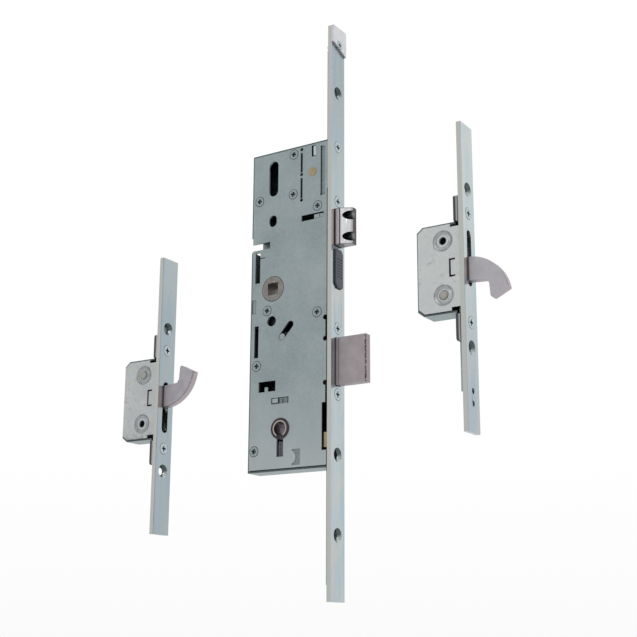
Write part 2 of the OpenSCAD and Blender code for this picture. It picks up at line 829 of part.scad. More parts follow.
module trigger_spring() {
  color(spring_steel) translate([seat_x, 0, trigger_z]) rotate([0, 90, 0])
    helix(2, 0.7, trigger_stem_x - 0.1 - seat_x, 4);
}

module trigger_seat() {
  color(spring_steel)
    span([seat_x - 0.1 - seat_t, seat_x - 0.1], [-inner_y, block_y1],
         [trigger_z - trigger_stem_half_h, trigger_z + trigger_stem_half_h]);
}

// Deadbolt: head, and a leg with the rack that the key bush drives
module deadbolt() {
  z0 = bolt_z - bolt_h / 2;
  half = bolt_t / 2;
  leg_z = bolt_rack_z + rack_ded;
  leg_x = [key_x - 3, key_x + 25];
  color(sintered) difference() {
    union() {
      translate([0, 0, z0]) linear_extrude(bolt_h) polygon([
        [bolt_rear_x, -half], [bolt_out - 0.8, -half], [bolt_out, -half + 0.8],
        [bolt_out, half - 0.8], [bolt_out - 0.8, half], [bolt_rear_x, half]
      ]);
      plate(bush_layer[0], bush_layer[1]) union() {
        span2d(leg_x, [leg_z, leg_z + 8]);
        span2d([leg_x[0] + 9, leg_x[1]], [leg_z, z0 + 1]);
        translate([key_x, bolt_rack_z]) rotate(180) rack_teeth2d(-24.5, 3);
      }
      pin_y(stump_at, stump_r, lever_first_y - 0.1, bush_layer[0] + 1);
    }
    span([2, 2.9], [-half - 1, -half + groove_depth], [z0 - 1, z0 + bolt_h + 1]);
  }
}

// Key bush: barrel through both plates with a toothed layer and a keyway
module key_bush() {
  color([0.42, 0.40, 0.41]) difference() {
    union() {
      pin_y([key_x, key_z], bush_r, -half_w - 0.6, bush_layer[0] - 0.2);
      pin_y([key_x, key_z], bush_r, bush_layer[1] + 0.2, half_w + 0.6);
      pin_y([key_x, key_z], bush_pitch_r - 1.3, bush_layer[0] - 1, bush_layer[1] + 1);
      translate([key_x, 0, key_z]) plate(bush_layer[0], bush_layer[1]) rotate(90) wheel2d(bush_teeth);
    }
    pin_y([key_x, key_z], key_bore_r, -half_w - 1, half_w + 1);
    keyway_w = key_slot_w - 0.4;
    span([key_x - keyway_w / 2, key_x + keyway_w / 2], [-half_w - 1, half_w + 1], [key_z - 10, key_z]);
  }
}

module lever2d() {
  difference() {
    union() {
      translate(lever_pivot_at) circle(r = 5.5);
      span2d([lever_pivot_at[0], key_x + 14], lever_bar_z);
    }
    translate(lever_pivot_at) circle(r = lever_pivot_r + shaft_gap);
    translate([key_x, key_z]) circle(r = belly_r);
    gate_x = [stump_at[0] - bolt_travel - 2.1, stump_at[0] + 2.2];
    span2d(gate_x, [lever_bar_z[0] + 2.2, lever_bar_z[0] + 8.5]);
  }
}

module lever_pack() {
  color(brass) for (i = [0:lever_count - 1])
    plate(lever_first_y + i * lever_pitch, lever_first_y + i * lever_pitch + lever_t) lever2d();
}

module lever_pivot() {
  color(spring_steel) pin_y(lever_pivot_at, lever_pivot_r, -inner_y, bush_layer[0] - 0.2);
}

// One flat blade over each lever, pressing it down from the case's rear wall
module lever_springs() {
  foot = [key_x - 5, lever_bar_z[1] + 0.05];
  tip = [inner_rear_x + 0.3, lever_bar_z[1] + 5];
  color(spring_steel) for (i = [0:lever_count - 1])
    plate(lever_first_y + i * lever_pitch + 0.1, lever_first_y + i * lever_pitch + lever_t - 0.1)
      polygon([foot, tip, tip + [0, 0.4], foot + [0, 0.4]]);
}

// Pin of the anti-thrust piece: it follows the key up its slanted slot
module antithrust_pin() {
  color(cast_grey) union() {
    pin_y(antithrust_at, antithrust_r, -half_w + 0.25, block_y1);
    pin_y(antithrust_at, antithrust_r + 1.8, -3, 3);
  }
}

// Hook units, drawn with the hook's tip up

module hook_outline2d(inset) {
  x0 = hook_rear_x + inset;
  z = hook_half_h - inset;
  cut = [4, 3.2];
  polygon([
    [back_x - 0.1, -z], [back_x - 0.1, z], [x0 + cut[0], z], [x0, z - cut[1]],
    [x0, -z + cut[1]], [x0 + cut[0], -z]
  ]);
}

// Grooves round the pivot and round the plain hole, sloping down from both sides
module hook_boss_grooves() {
  out = [boss_groove_r[0] - 0.2, boss_groove_r[1] + 0.2];
  low = [boss_groove_r[0] + 0.8, boss_groove_r[1] - 0.8];
  for (z = [-pivot_up, pivot_up])
    translate([hook_pivot_at[0], -half_w - 0.1, z]) rotate([-90, 0, 0]) difference() {
      cylinder(r1 = out[1], r2 = low[1], h = boss_groove_depth + 0.1);
      translate([0, 0, -eps]) cylinder(r1 = out[0], r2 = low[0], h = boss_groove_depth + 0.1 + 2 * eps);
    }
}

module hook_faceplate(extra_holes) {
  color(bright_zinc) difference() {
    span([back_x, 0], [-strip_w / 2, strip_w / 2], [-hook_strip_heel, hook_strip_tip]);
    along_x(back_x - 1, 1) slot2d([0, hook_slot_z[0]], [0, hook_slot_z[1]], hook_t + 0.2);
    for (z = [-lug_screw_z, lug_screw_z])
      countersunk_hole(z, face_head_r + head_gap, face_screw_r + head_gap);
    for (z = [-hook_door_z, hook_door_z]) countersunk_hole(z, door_csk_d / 2, door_hole_d / 2);
    for (z = extra_holes) pin_x(0, z, link_hole_r, back_x - 1, 1);
  }
}

module hook_cover() {
  color(zinc) difference() {
    plate(-half_w, -inner_y) difference() {
      hook_outline2d(rim_inset - 0.3);
      translate(hook_pivot_at) circle(r = hook_pivot_r + shaft_gap);
      translate([hook_pivot_at[0], -pivot_up]) circle(r = hook_plain_hole_r);
      for (w = hook_windows) span2d(w[0], w[1]);
      for (s = [0, 1]) mirror([0, s]) span2d([back_x - 6, 0], [hook_half_h - 3.2, hook_half_h]);
    }
    hook_boss_grooves();
  }
}

module hook_tray() {
  color(zinc) difference() {
    union() {
      plate(inner_y, half_w) difference() {
        hook_outline2d(0);
        translate(hook_pivot_at) circle(r = hook_pivot_r + shaft_gap);
        translate([hook_pivot_at[0], -pivot_up]) circle(r = hook_plain_hole_r);
      }
      plate(-inner_y + 0.05, inner_y + eps) difference() {
        hook_outline2d(0);
        intersection() {
          hook_outline2d(sheet_t);
          span2d([hook_rear_x, back_x], [-hook_half_h, hook_half_h]);
        }
        span2d([back_x - 1, back_x], [-hook_half_h + sheet_t, hook_half_h - sheet_t]);
      }
    }
    for (z = [-hook_half_h, hook_half_h])
      span([channel_x, back_x + 1], [-channel_half_y - 3, channel_half_y], [z - 2, z + 2]);
  }
}

// Hook bolt: hub, hooked nose with a round back, and a tail with the driving slot
module hook_bolt() {
  away = [polar(6.8, 215), polar(8.8, 215)];
  color(sintered) plate(-hook_t / 2, hook_t / 2) difference() {
    union() {
      translate(hook_pivot_at) circle(r = 6.5);
      translate(hook_pivot_at) intersection() {
        polygon(hook_nose);
        translate(hook_back_at) circle(r = hook_back_r);
      }
      slot2d(hook_pivot_at, hook_pivot_at + polar(8.6, 215), 8);
    }
    translate(hook_pivot_at) circle(r = hook_pivot_r + 2 * shaft_gap);
    slot2d(hook_pivot_at + away[0], hook_pivot_at + away[1], 2 * hook_pin_r + 0.7);
  }
}

// Pivot pin with a low domed head on each plate
module hook_pivot() {
  color(cast_grey) union() {
    pin_y(hook_pivot_at, hook_pivot_r, -half_w - 0.2, half_w + 0.2);
    translate([hook_pivot_at[0], 0, hook_pivot_at[1]]) for (turn = [90, -90]) rotate([turn, 0, 0]) {
      translate([0, 0, half_w]) cylinder(r1 = hook_head_r, r2 = hook_head_r - 0.2, h = 0.3);
      translate([0, 0, half_w + 0.3]) cylinder(r1 = hook_head_r - 0.2, r2 = hook_head_r - 1.2, h = 0.35);
    }
  }
}

module hook_spacer() {
  color(spring_steel)
    ring_y(hook_pivot_at, hook_pivot_r + 2 * shaft_gap, 5.5, -inner_y + 0.05, -hook_t / 2 - 0.05);
}

// U shaped slide that carries the drive pin and hangs on the rod
module hook_slide() {
  left = [hook_pin_at[0] - 4.5, hook_pin_at[0] + 3.5];
  color(dark_steel) difference() {
    union() {
      plate(hook_slide_y[0], hook_slide_y[1]) union() {
        span2d(left, [-6, hook_pin_at[1] + 2.7]);
        span2d([left[0], column_x1], [-6, 3.2]);
        span2d([column_x0, column_x1], [3, 16]);
      }
      span([rod_x0 + 0.3, rod_x1 - 0.3], [hook_slide_y[0] - 1.5, hook_slide_y[0] + 0.5], hook_tongue_z);
    }
    pin_y(hook_pin_at, hook_pin_r, hook_slide_y[0] - 1, hook_slide_y[1] + 1);
  }
}

module drive_pin() {
  color(spring_steel) pin_y(hook_pin_at, hook_pin_r, -hook_t / 2, hook_slide_y[1]);
}

module hook_rod() {
  color(cast_grey) difference() {
    span([rod_x0, rod_x1], [-rod_half_y, rod_half_y], hook_rod_z);
    span([rod_x0 - 1, rod_x1 + 1], [hook_slide_y[0] - 0.05, rod_half_y + 1],
         [hook_rod_z[0] - 0.3, hook_tongue_z[1] + 1.5]);
    span([rod_x0 - 1, rod_x1 + 1], [hook_slide_y[0] - 1.6, rod_half_y + 1],
         [hook_tongue_z[0] - tongue_gap, hook_tongue_z[1] + tongue_gap]);
    along_x(rod_x0 - 1, rod_x1 + 1) slot2d(
      [0, lug_screw_z - drive_travel + 0.1], [0, hook_door_z + 0.3], rod_slot_w);
  }
}

// Lugs at both ends of the case that the strip is screwed to, open for the rod
module lugs() {
  lug_z0 = hook_half_h + 0.2;
  color(dark_steel) for (s = [0, 1]) mirror([0, 0, s]) difference() {
    along_x(lug_x, back_x) rounded2d([-6, 6], [lug_z0, lug_z0 + lug_h], 1.5);
    span([channel_x, back_x + 1], [-channel_half_y, channel_half_y], [lug_z0 - 1, lug_z0 + lug_h + 1]);
    pin_x(0, lug_screw_z, face_screw_r + thread_gap, lug_x - 1, back_x + 1);
  }
}

module lug_screws() {
  color(cast_grey) for (z = [-lug_screw_z, lug_screw_z]) flush_screw(z, -lug_x + 1.4);
}

module in_centre() translate([backset, 0, 0]) children();
module in_lower() translate([backset + lower_dx, 0, lower_dz]) children();
module in_upper() translate([backset + upper_dx, 0, upper_dz]) mirror([0, 0, 1]) children();

in_centre() centre_faceplate();
in_centre() joint_strap();
in_centre() joint_screw();
in_centre() case_cover();
in_centre() case_tray();
in_centre() case_rim();
in_centre() case_screws();
in_centre() case_posts();
in_centre() fixing_sleeve();
in_centre() front_blocks();
in_centre() faceplate_screws();
in_centre() brass_rivet();
in_centre() follower();
in_centre() handle_spring();
in_centre() lower_slide();
in_centre() lower_rod();
in_centre() brass_coupling();
in_centre() upper_slide();
in_centre() upper_rod();
in_centre() reversing_pinion();
in_centre() pinion_stud();
in_centre() latch_bolt();
in_centre() latch_guide();
in_centre() latch_spring();
in_centre() trigger_pad();
in_centre() trigger_spring();
in_centre() trigger_seat();
in_centre() deadbolt();
in_centre() key_bush();
in_centre() lever_pack();
in_centre() lever_pivot();
in_centre() lever_springs();
in_centre() antithrust_pin();
in_lower() hook_faceplate([]);  // lower_faceplate
in_lower() hook_cover();  // lower_hook_cover
in_lower() hook_tray();  // lower_hook_tray
in_lower() hook_bolt();  // lower_hook_bolt
in_lower() hook_pivot();  // lower_hook_pivot
in_lower() hook_spacer();  // lower_hook_spacer
in_lower() hook_slide();  // lower_hook_slide
in_lower() drive_pin();  // lower_drive_pin
in_lower() hook_rod();  // lower_hook_rod
in_lower() lugs();  // lower_lugs
in_lower() lug_screws();  // lower_lug_screws
in_upper() hook_faceplate([74.6, 82]);  // upper_faceplate
in_upper() hook_cover();  // upper_hook_cover
in_upper() hook_tray();  // upper_hook_tray
in_upper() hook_bolt();  // upper_hook_bolt
in_upper() hook_pivot();  // upper_hook_pivot
in_upper() hook_spacer();  // upper_hook_spacer
in_upper() hook_slide();  // upper_hook_slide
in_upper() drive_pin();  // upper_drive_pin
in_upper() hook_rod();  // upper_hook_rod
in_upper() lugs();  // upper_lugs
in_upper() lug_screws();  // upper_lug_screws
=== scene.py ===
"""Looks of the multipoint door lock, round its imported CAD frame. Metres, in the row frame:
+X is the way the bolts throw, +Z is up, and the case covers face -Y."""

import json
import math

import bpy
from mathutils import Matrix, Vector


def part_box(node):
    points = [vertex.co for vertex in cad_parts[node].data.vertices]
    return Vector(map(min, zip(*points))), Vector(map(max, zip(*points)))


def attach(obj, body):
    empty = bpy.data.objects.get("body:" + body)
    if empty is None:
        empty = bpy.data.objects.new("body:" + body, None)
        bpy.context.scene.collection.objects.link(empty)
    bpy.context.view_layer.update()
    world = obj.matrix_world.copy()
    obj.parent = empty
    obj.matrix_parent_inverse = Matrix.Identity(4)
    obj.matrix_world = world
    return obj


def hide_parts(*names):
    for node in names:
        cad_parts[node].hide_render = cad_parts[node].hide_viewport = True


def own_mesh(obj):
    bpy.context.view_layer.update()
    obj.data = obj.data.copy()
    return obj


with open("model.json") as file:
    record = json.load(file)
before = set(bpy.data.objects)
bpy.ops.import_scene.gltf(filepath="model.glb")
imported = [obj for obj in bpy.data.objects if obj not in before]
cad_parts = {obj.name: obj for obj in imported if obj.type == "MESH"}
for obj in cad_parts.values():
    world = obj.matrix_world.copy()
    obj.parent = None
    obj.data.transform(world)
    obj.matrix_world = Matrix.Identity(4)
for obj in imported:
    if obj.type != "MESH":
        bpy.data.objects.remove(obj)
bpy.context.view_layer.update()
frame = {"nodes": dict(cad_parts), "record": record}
nodes = frame["nodes"]
MM = 0.001


def mm(*values):
    """Millimetres to metres."""
    return tuple(value * MM for value in values)


# Camera, as fitted to the photograph; angles in degrees
CAMERA_AT = Vector((427.6, -619.7, -218.2)) * MM
CAMERA_YAW = 32.65
CAMERA_PITCH = 14.892
CAMERA_ROLL = 0.289
FOCAL_PIXELS = 1200
FRAME_PIXELS = 637
SENSOR_MM = 36
NEAREST_SEEN = 0.05

# The white room's darker sides: direction, where it is darkest, where it is white again, and its tone
ROOM_SHADES = (
    ("Z", -0.6, 0.15, (0.80, 0.80, 0.81, 1)),
    ("Y", -0.75, 0.3, (0.82, 0.82, 0.82, 1)),
)
# Round lights, aimed at the origin: name, place, width in metres and power in watts
LIGHTS = (
    ("key", (1.0, -1.5, 1.7), 1.2, 9),
    ("side", (-1.6, -0.4, 1.6), 1.0, 3),
)
FLOOR_WIDTH = 12
FLOOR_HEIGHT = -1.1
FLOOR_DARK = (0.93, 0.93, 0.93)
FLOOR_LIGHT = (0.96, 0.96, 0.96)

# Base colours of the finishes, linear
ZINC_LIGHT = (0.35, 0.405, 0.415)
ZINC_DARK = (0.265, 0.315, 0.325)
# Dark edges and lines; also painted shade down the pivots' sides and painted reflection along the hook
# strips' corners
ZINC_EDGE = (0.10, 0.13, 0.13)
ZINC_PALE = (0.47, 0.51, 0.52)
COVER_LIGHT = (0.55, 0.57, 0.565)
COVER_DARK = (0.45, 0.47, 0.475)
COVER_BRIGHT = (0.64, 0.66, 0.655)
COVER_GRIME = (0.20, 0.20, 0.195)
STRIP_LIGHT = (0.50, 0.56, 0.57)
STRIP_DARK = (0.40, 0.49, 0.55)
# Painted reflection, lighter up the upper hook's strip
STRIP_REFLECTION_LIGHT = (0.62, 0.69, 0.68)
STRIP_SIDE = (0.53, 0.545, 0.515)
# Painted reflection, darker towards one end of each strip
STRIP_REFLECTION_DARK = (0.27, 0.335, 0.37)
STRIP_WARM = (0.56, 0.55, 0.51)
# Painted reflection of the bolts in the strips beside them
STRIP_BOLT_REFLECTION = (0.62, 0.53, 0.50)
# Painted shade and painted light in the strips' holes
HOLE_SHADE = (0.035, 0.05, 0.05)
HOLE_LIT = (0.50, 0.54, 0.54)
PRESSED_DARK = (0.13, 0.16, 0.165)
PRESSED_LIGHT = (0.56, 0.62, 0.62)
# Painted shade in the bosses' grooves
BOSS_SHADE = (0.07, 0.08, 0.085)
SINTER_LIGHT = (0.40, 0.365, 0.38)
SINTER_DARK = (0.30, 0.27, 0.285)
SINTER_FRONT = (0.36, 0.31, 0.305)
# Painted shade on the chamfers and at the bolts' and hooks' roots
SINTER_SHADE = (0.05, 0.045, 0.045)
HOOK_LIGHT = (0.45, 0.43, 0.465)
HOOK_DARK = (0.34, 0.325, 0.355)
HOOK_BRIGHT = (0.56, 0.55, 0.58)
HOOK_RIM = (0.44, 0.40, 0.42)
SATIN_LIGHT = (0.67, 0.68, 0.70)
SATIN_DARK = (0.58, 0.58, 0.60)
# Painted shade on the latch's tip, steps and edges
LATCH_TIP_SHADE = (0.085, 0.068, 0.066)
LATCH_STEP = (0.52, 0.50, 0.535)
# Painted shade in the latch's bores
BORE_SHADE = (0.020, 0.027, 0.028)
# Painted shade in hollows, where things close a place in
HOLLOW_SHADE = (0.003, 0.004, 0.005)
BLACK_LIGHT = (0.105, 0.105, 0.115)
BLACK_DARK = (0.04, 0.04, 0.047)
# Wear and painted highlight on the dark steel's edges, and a painted highlight behind the hook strips
EDGE_WEAR_AND_HIGHLIGHT = (0.50, 0.50, 0.51)
SPRING_LIGHT = (0.34, 0.34, 0.36)
SPRING_DARK = (0.20, 0.20, 0.215)
BRASS_LIGHT = (0.50, 0.40, 0.25)
BRASS_DARK = (0.30, 0.235, 0.14)
PLASTIC_LIGHT = (0.060, 0.066, 0.085)
PLASTIC_DARK = (0.040, 0.045, 0.060)
HUB_LIGHT = (0.30, 0.285, 0.27)
HUB_DARK = (0.20, 0.185, 0.175)
HUB_RIM = (0.05, 0.048, 0.045)
# Painted shade in the hub's hollows
HUB_HOLLOW_SHADE = (0.10, 0.088, 0.08)
BUSH_LIGHT = (0.17, 0.15, 0.165)
BUSH_DARK = (0.055, 0.045, 0.06)
BUSH_RING = (0.62, 0.55, 0.48)
PIVOT_LIGHT = (0.45, 0.43, 0.39)
PIVOT_DARK = (0.33, 0.31, 0.28)
GUIDE_LIGHT = (0.34, 0.33, 0.39)
GUIDE_DARK = (0.24, 0.23, 0.28)

# Places on the part. A place in the case's plane is given as X and Z
SPINDLE = (0.0, 0.0)
KEY = mm(7, -92)
CENTRE_FRONT = 45 * MM
LOWER_FRONT = -92.5 * MM
UPPER_FRONT = 136.8 * MM
HOOK_FRONTS = (LOWER_FRONT, UPPER_FRONT)
UPPER_UNIT_X = mm(100, 165)
LOWER_COVER_FOOT = (mm(-122, -98), mm(-92, -86))
CASE_POSTS = [mm(*at) for at in (
    (15.3, 90), (-11.7, 62.1), (15, 62.1), (34, 50.7),
    (-4.35, -14.2), (34, -20.3), (-11.9, -50.1), (-12.8, -105.1),
)]
HOOK_BOSSES = [mm(*at) for at in ((-106.5, -45.3), (-106.5, -78.9), (122.8, -22.7), (122.8, 10.9))]
# Rings of painted shade in the dished grooves round the bosses and round their holes: radius, width of the
# fade and share
BOSS_SHADE_RINGS = (
    (6.1 * MM, 0.9 * MM, 0.75),
    (5.0 * MM, 1.5 * MM, 0.45),
    (4.1 * MM, 0.6 * MM, 0.45),
    (2.4 * MM, 0.5 * MM, 0.8),
)
# Painted shade along the edges of the case cover's pressed fields and slots, painted light on their bent
# tabs, and dark marks, in mm: X range, Z range, colour, share
COVER_MARKS_LIGHT_AND_SHADE = (
    ((36.0, 39.5), (57.7, 91.2), PRESSED_DARK, 0.65),
    ((36.0, 39.8), (88.4, 91.4), PRESSED_DARK, 0.5),
    ((36.0, 39.8), (57.4, 58.8), PRESSED_DARK, 0.8),
    ((20.5, 22.5), (58.2, 72.2), PRESSED_DARK, 0.8),
    ((20.5, 22.5), (76.1, 89.7), PRESSED_DARK, 0.8),
    ((30.9, 32.6), (86.1, 92.5), PRESSED_LIGHT, 1.0),
    ((32.5, 32.9), (85.4, 93.2), PRESSED_DARK, 0.5),
    ((31.6, 38.4), (42.9, 44.8), PRESSED_LIGHT, 0.1),
    ((31.6, 38.9), (42.3, 42.7), PRESSED_DARK, 0.8),
    ((38.5, 39.0), (42.3, 46.0), PRESSED_DARK, 0.8),
    ((35.3, 35.7), (42.9, 45.0), PRESSED_DARK, 0.5),
    ((-16.3, -13.3), (-14.8, -5.5), PRESSED_DARK, 0.3),
    ((-16.4, -15.8), (-14.8, -5.5), PRESSED_DARK, 0.9),
    ((-13.8, -13.2), (-14.8, -5.5), PRESSED_DARK, 0.9),
    ((-16.4, -13.2), (-15.0, -14.4), PRESSED_DARK, 0.9),
    ((0.7, 5.2), (-75.4, -72.7), PRESSED_LIGHT, 0.12),
    ((6.3, 13.2), (-76.2, -72.2), PRESSED_DARK, 0.9),
    ((-0.2, 6.6), (-76.2, -75.2), PRESSED_DARK, 0.6),
    ((5.0, 6.8), (-76.0, -72.2), PRESSED_DARK, 0.9),
    ((-0.2, 0.8), (-76.0, -72.2), PRESSED_DARK, 0.5),
)
# A dark field at the case cover's foot, and the centre of the round bite out of it
FOOT_FIELD = (mm(16.1, 22.1), mm(-115.6, -105.8))
FOOT_BITE = mm(14.4, -110.7)
# Strips painted darker along their length, as a painted reflection of the room: front X, Z where bright, Z
# where darkest, share
STRIP_REFLECTION_FADES = (
    (CENTRE_FRONT, 15 * MM, 130 * MM, 0.55),
    (LOWER_FRONT, 120 * MM, 0 * MM, 0.55),
    (UPPER_FRONT, -20 * MM, -80 * MM, 0.35),
)
# Places on the strips painted brown as the reflection of the bolt beside them: front X, Z range and how far
# they reach along Y
BOLT_REFLECTIONS = (
    (CENTRE_FRONT, mm(23, 47.4), -4.0 * MM),
    (CENTRE_FRONT, mm(-67.5, -37.5), -5.5 * MM),
    (LOWER_FRONT, mm(-67.6, -55.2), -2.8 * MM),
    (UPPER_FRONT, mm(-12.8, -0.4), -2.8 * MM),
)
# Open holes of the strips: front X, Z and the mouth's radius
STRIP_HOLES = (
    (CENTRE_FRONT, 129.25 * MM, 4.5 * MM),
    (CENTRE_FRONT, -110.5 * MM, 4.5 * MM),
    (CENTRE_FRONT, -159 * MM, 4.5 * MM),
    (LOWER_FRONT, -13.1 * MM, 4.5 * MM),
    (LOWER_FRONT, -111.1 * MM, 4.5 * MM),
    (UPPER_FRONT, 43.1 * MM, 4.5 * MM),
    (UPPER_FRONT, -54.9 * MM, 4.5 * MM),
    (UPPER_FRONT, -80.5 * MM, 1.75 * MM),
    (UPPER_FRONT, -87.9 * MM, 1.75 * MM),
)
# Painted shade along the latch's steps and edges: axis, range and share
LATCH_SHADE_LINES = (
    ("X", mm(44.9, 45.8), 1.0),
    ("X", mm(48.5, 49.1), 1.0),
    ("Z", mm(46.9, 47.6), 0.7),
    ("Z", mm(22.8, 23.5), 0.7),
)
# The two bores in the latch's front, as Y and Z
LATCH_BORES = (mm(-0.3, 28.1), mm(-0.3, 42.3))

# Coil springs are drawn with this many points a turn, and sides to their wire
COIL_STEPS = 28
WIRE_SIDES = 10
# The first and last turns climb by this many thicknesses of the wire
CLOSED_PITCH = 1.05

# Lever springs: a leaf's foot and tip, its bow and thickness, and the leaves' Y ranges
LEAF_FOOT = Vector((2.0, -71.45)) * MM
LEAF_TIP = Vector((-16.5, -66.5)) * MM
LEAF_BOW = 0.45 * MM
LEAF_THICK = 0.4 * MM
LEAF_STEPS = 14
LEAF_SIDES = [mm(-5.3 + leaf, -4.65 + leaf) for leaf in range(5)]

# The wall beside the keyway: its face's X, its section as X from that face and Y, and its Z range
GUIDE_X = KEY[0] - 2.65 * MM
GUIDE_SECTION = [mm(*at) for at in ((-1.2, 5.9), (0, 5.9), (0, -2.6), (-0.35, -3.1), (-1.2, -3.2))]
GUIDE_FOOT = KEY[1] - 17.6 * MM
GUIDE_TOP = KEY[1] - 7.05 * MM
GUIDE_EDGE = 0.15 * MM

# Edges that turn by more than the sharp angle are rounded, and those that turn by less than the flat
# angle go, both in degrees. Points closer than the weld's reach become one
SHARP_ANGLE = 32
FLAT_ANGLE = 0.4
WELD_REACH = 0.001 * MM


class Finish:
    """A material with one Principled shader, and textures laid in the object's own metres."""

    def __init__(self, name, metallic, roughness):
        self.material = bpy.data.materials.new(name)
        self.material.use_nodes = True
        self.tree = self.material.node_tree
        self.shader = self.tree.nodes["Principled BSDF"]
        self.shader.inputs["Metallic"].default_value = metallic
        self.shader.inputs["Roughness"].default_value = roughness
        self.place = self.add("ShaderNodeTexCoord").outputs["Object"]
        self.normal = None

    def add(self, kind, **values):
        """A node, with the sockets named in values linked to a socket or set to a number."""
        made = self.tree.nodes.new(kind)
        for key, value in values.items():
            self.feed(made.inputs[key.replace("_", " ")], value)
        return made

    def feed(self, socket, value):
        if isinstance(value, bpy.types.NodeSocket):
            self.tree.links.new(value, socket)
        else:
            socket.default_value = value

    def maths(self, operation, first, second=0.0):
        made = self.tree.nodes.new("ShaderNodeMath")
        made.operation = operation
        self.feed(made.inputs[0], first)
        self.feed(made.inputs[1], second)
        return made.outputs[0]

    def times(self, first, second):
        return self.maths("MULTIPLY", first, second)

    def mean(self, first, second):
        return self.maths("ADD", self.times(first, 0.5), self.times(second, 0.5))

    def vector_maths(self, operation, *vectors):
        """The number that a vector operation gives."""
        made = self.tree.nodes.new("ShaderNodeVectorMath")
        made.operation = operation
        for socket, vector in zip(made.inputs, vectors):
            self.feed(socket, vector)
        return made.outputs["Value"]

    def stretched(self, factors, turn=(0, 0, 0)):
        """Texture coordinates turned, then scaled by factors: a low factor makes streaks along its axis."""
        turned = self.add("ShaderNodeMapping", Vector=self.place, Rotation=turn)
        return self.add("ShaderNodeMapping", Vector=turned.outputs[0], Scale=factors).outputs[0]

    def noise(self, feature, detail=2.0, along=None, soft=0.5):
        """Noise from 0 to 1 whose blotches are about feature metres across."""
        made = self.add("ShaderNodeTexNoise", Scale=1 / feature, Detail=detail, Roughness=soft)
        self.feed(made.inputs["Vector"], along or self.place)
        return made.outputs["Fac"]

    def spread(self, value, low, high, to_low=0.0, to_high=1.0):
        """value between low and high, laid out from to_low to to_high and held at the ends."""
        made = self.add("ShaderNodeMapRange", Value=value)
        for key, number in (("From Min", low), ("From Max", high), ("To Min", to_low), ("To Max", to_high)):
            self.feed(made.inputs[key], number)
        return made.outputs["Result"]

    def blend(self, share, first, second):
        """From the first colour to the second as share goes from 0 to 1."""
        made = self.tree.nodes.new("ShaderNodeMix")
        made.data_type = "RGBA"
        self.feed(made.inputs["Factor"], share)
        for socket, value in ((made.inputs[6], first), (made.inputs[7], second)):
            self.feed(socket, (*value, 1) if isinstance(value, tuple) else value)
        return made.outputs[2]

    def mottled(self, tone, dark, light, low=0.36, high=0.64):
        """From dark to light along a noise, whose values lie mostly between low and high."""
        return self.blend(self.spread(tone, low, high), dark, light)

    def shaded_in_hollows(self, value, reach, deepest=0.12, open_at=0.75, hollow=HOLLOW_SHADE):
        """Painted shade: value, turning to the hollow colour where things within reach shut a place in."""
        shut = self.add("ShaderNodeAmbientOcclusion", Distance=reach)
        shut.samples = 8
        return self.blend(self.spread(shut.outputs["AO"], deepest, open_at), hollow, value)

    def facing(self, axis, low, high):
        """From 0 to 1 as the cosine between a face's normal and axis goes from low to high."""
        normal = self.add("ShaderNodeTexCoord").outputs["Normal"]
        cosine = self.vector_maths("DOT_PRODUCT", normal, Vector(axis).normalized())
        return self.spread(cosine, low, high)

    def along(self, axis):
        """How far along X, Y or Z a place lies."""
        return self.add("ShaderNodeSeparateXYZ", Vector=self.place).outputs[axis]

    def within(self, axis, low, high, soft=0.2 * MM):
        """1 where a place lies between low and high along X, Y or Z, 0 outside."""
        value = self.along(axis)
        above = self.spread(value, low - soft, low + soft)
        return self.times(above, self.spread(value, high + soft, high - soft))

    def patch(self, x, z, soft, share):
        """share inside a field of the X and Z ranges, 0 outside."""
        return self.times(self.times(self.within("X", *x, soft), self.within("Z", *z, soft)), share)

    def on_strip(self, front):
        """1 through the thickness of the strip with that front, 0 elsewhere."""
        return self.within("X", front - 4 * MM, front + 1 * MM)

    def distance(self, point, counted):
        """Distance from point, along the axes alone that counted gives as 1."""
        moved = self.add("ShaderNodeMapping", Vector=self.place, Location=[-value for value in point])
        flat = self.add("ShaderNodeMapping", Vector=moved.outputs[0], Scale=counted)
        return self.vector_maths("LENGTH", flat.outputs[0])

    def off_y_axis(self, at):
        """Distance from an axis along Y through at, given as X and Z."""
        return self.distance((at[0], 0, at[1]), (1, 0, 1))

    def off_x_axis(self, at):
        """Distance from an axis along X through at, given as Y and Z."""
        return self.distance((0, at[0], at[1]), (0, 1, 1))

    def nearest(self, places):
        """Distance from the nearest of several axes along Y."""
        far = self.off_y_axis(places[0])
        for at in places[1:]:
            far = self.maths("MINIMUM", far, self.off_y_axis(at))
        return far

    def ring(self, far, radius, width):
        """1 at that radius, fading to 0 over width at both sides."""
        gap = self.maths("ABSOLUTE", self.maths("SUBTRACT", far, radius))
        return self.spread(gap, width, 0.0)

    def edges(self, radius, low, high):
        """1 on convex and concave edges about radius wide, 0 on flat faces."""
        rounded = self.add("ShaderNodeBevel", Radius=radius)
        rounded.samples = 4
        flat = self.add("ShaderNodeNewGeometry").outputs["Normal"]
        return self.spread(self.vector_maths("DOT_PRODUCT", rounded.outputs[0], flat), high, low)

    def bump(self, height, depth):
        """Adds a relief of that depth."""
        made = self.add("ShaderNodeBump", Height=height, Distance=depth, Strength=1.0)
        if self.normal is not None:
            self.feed(made.inputs["Normal"], self.normal)
        self.normal = made.outputs["Normal"]

    def colour(self, value):
        self.feed(self.shader.inputs["Base Color"], value)

    def roughness(self, tone, low, high):
        """Roughness from low to high along a noise."""
        self.feed(self.shader.inputs["Roughness"], self.spread(tone, 0.3, 0.7, low, high))

    def done(self):
        if self.normal is not None:
            self.feed(self.shader.inputs["Normal"], self.normal)
        return self.material


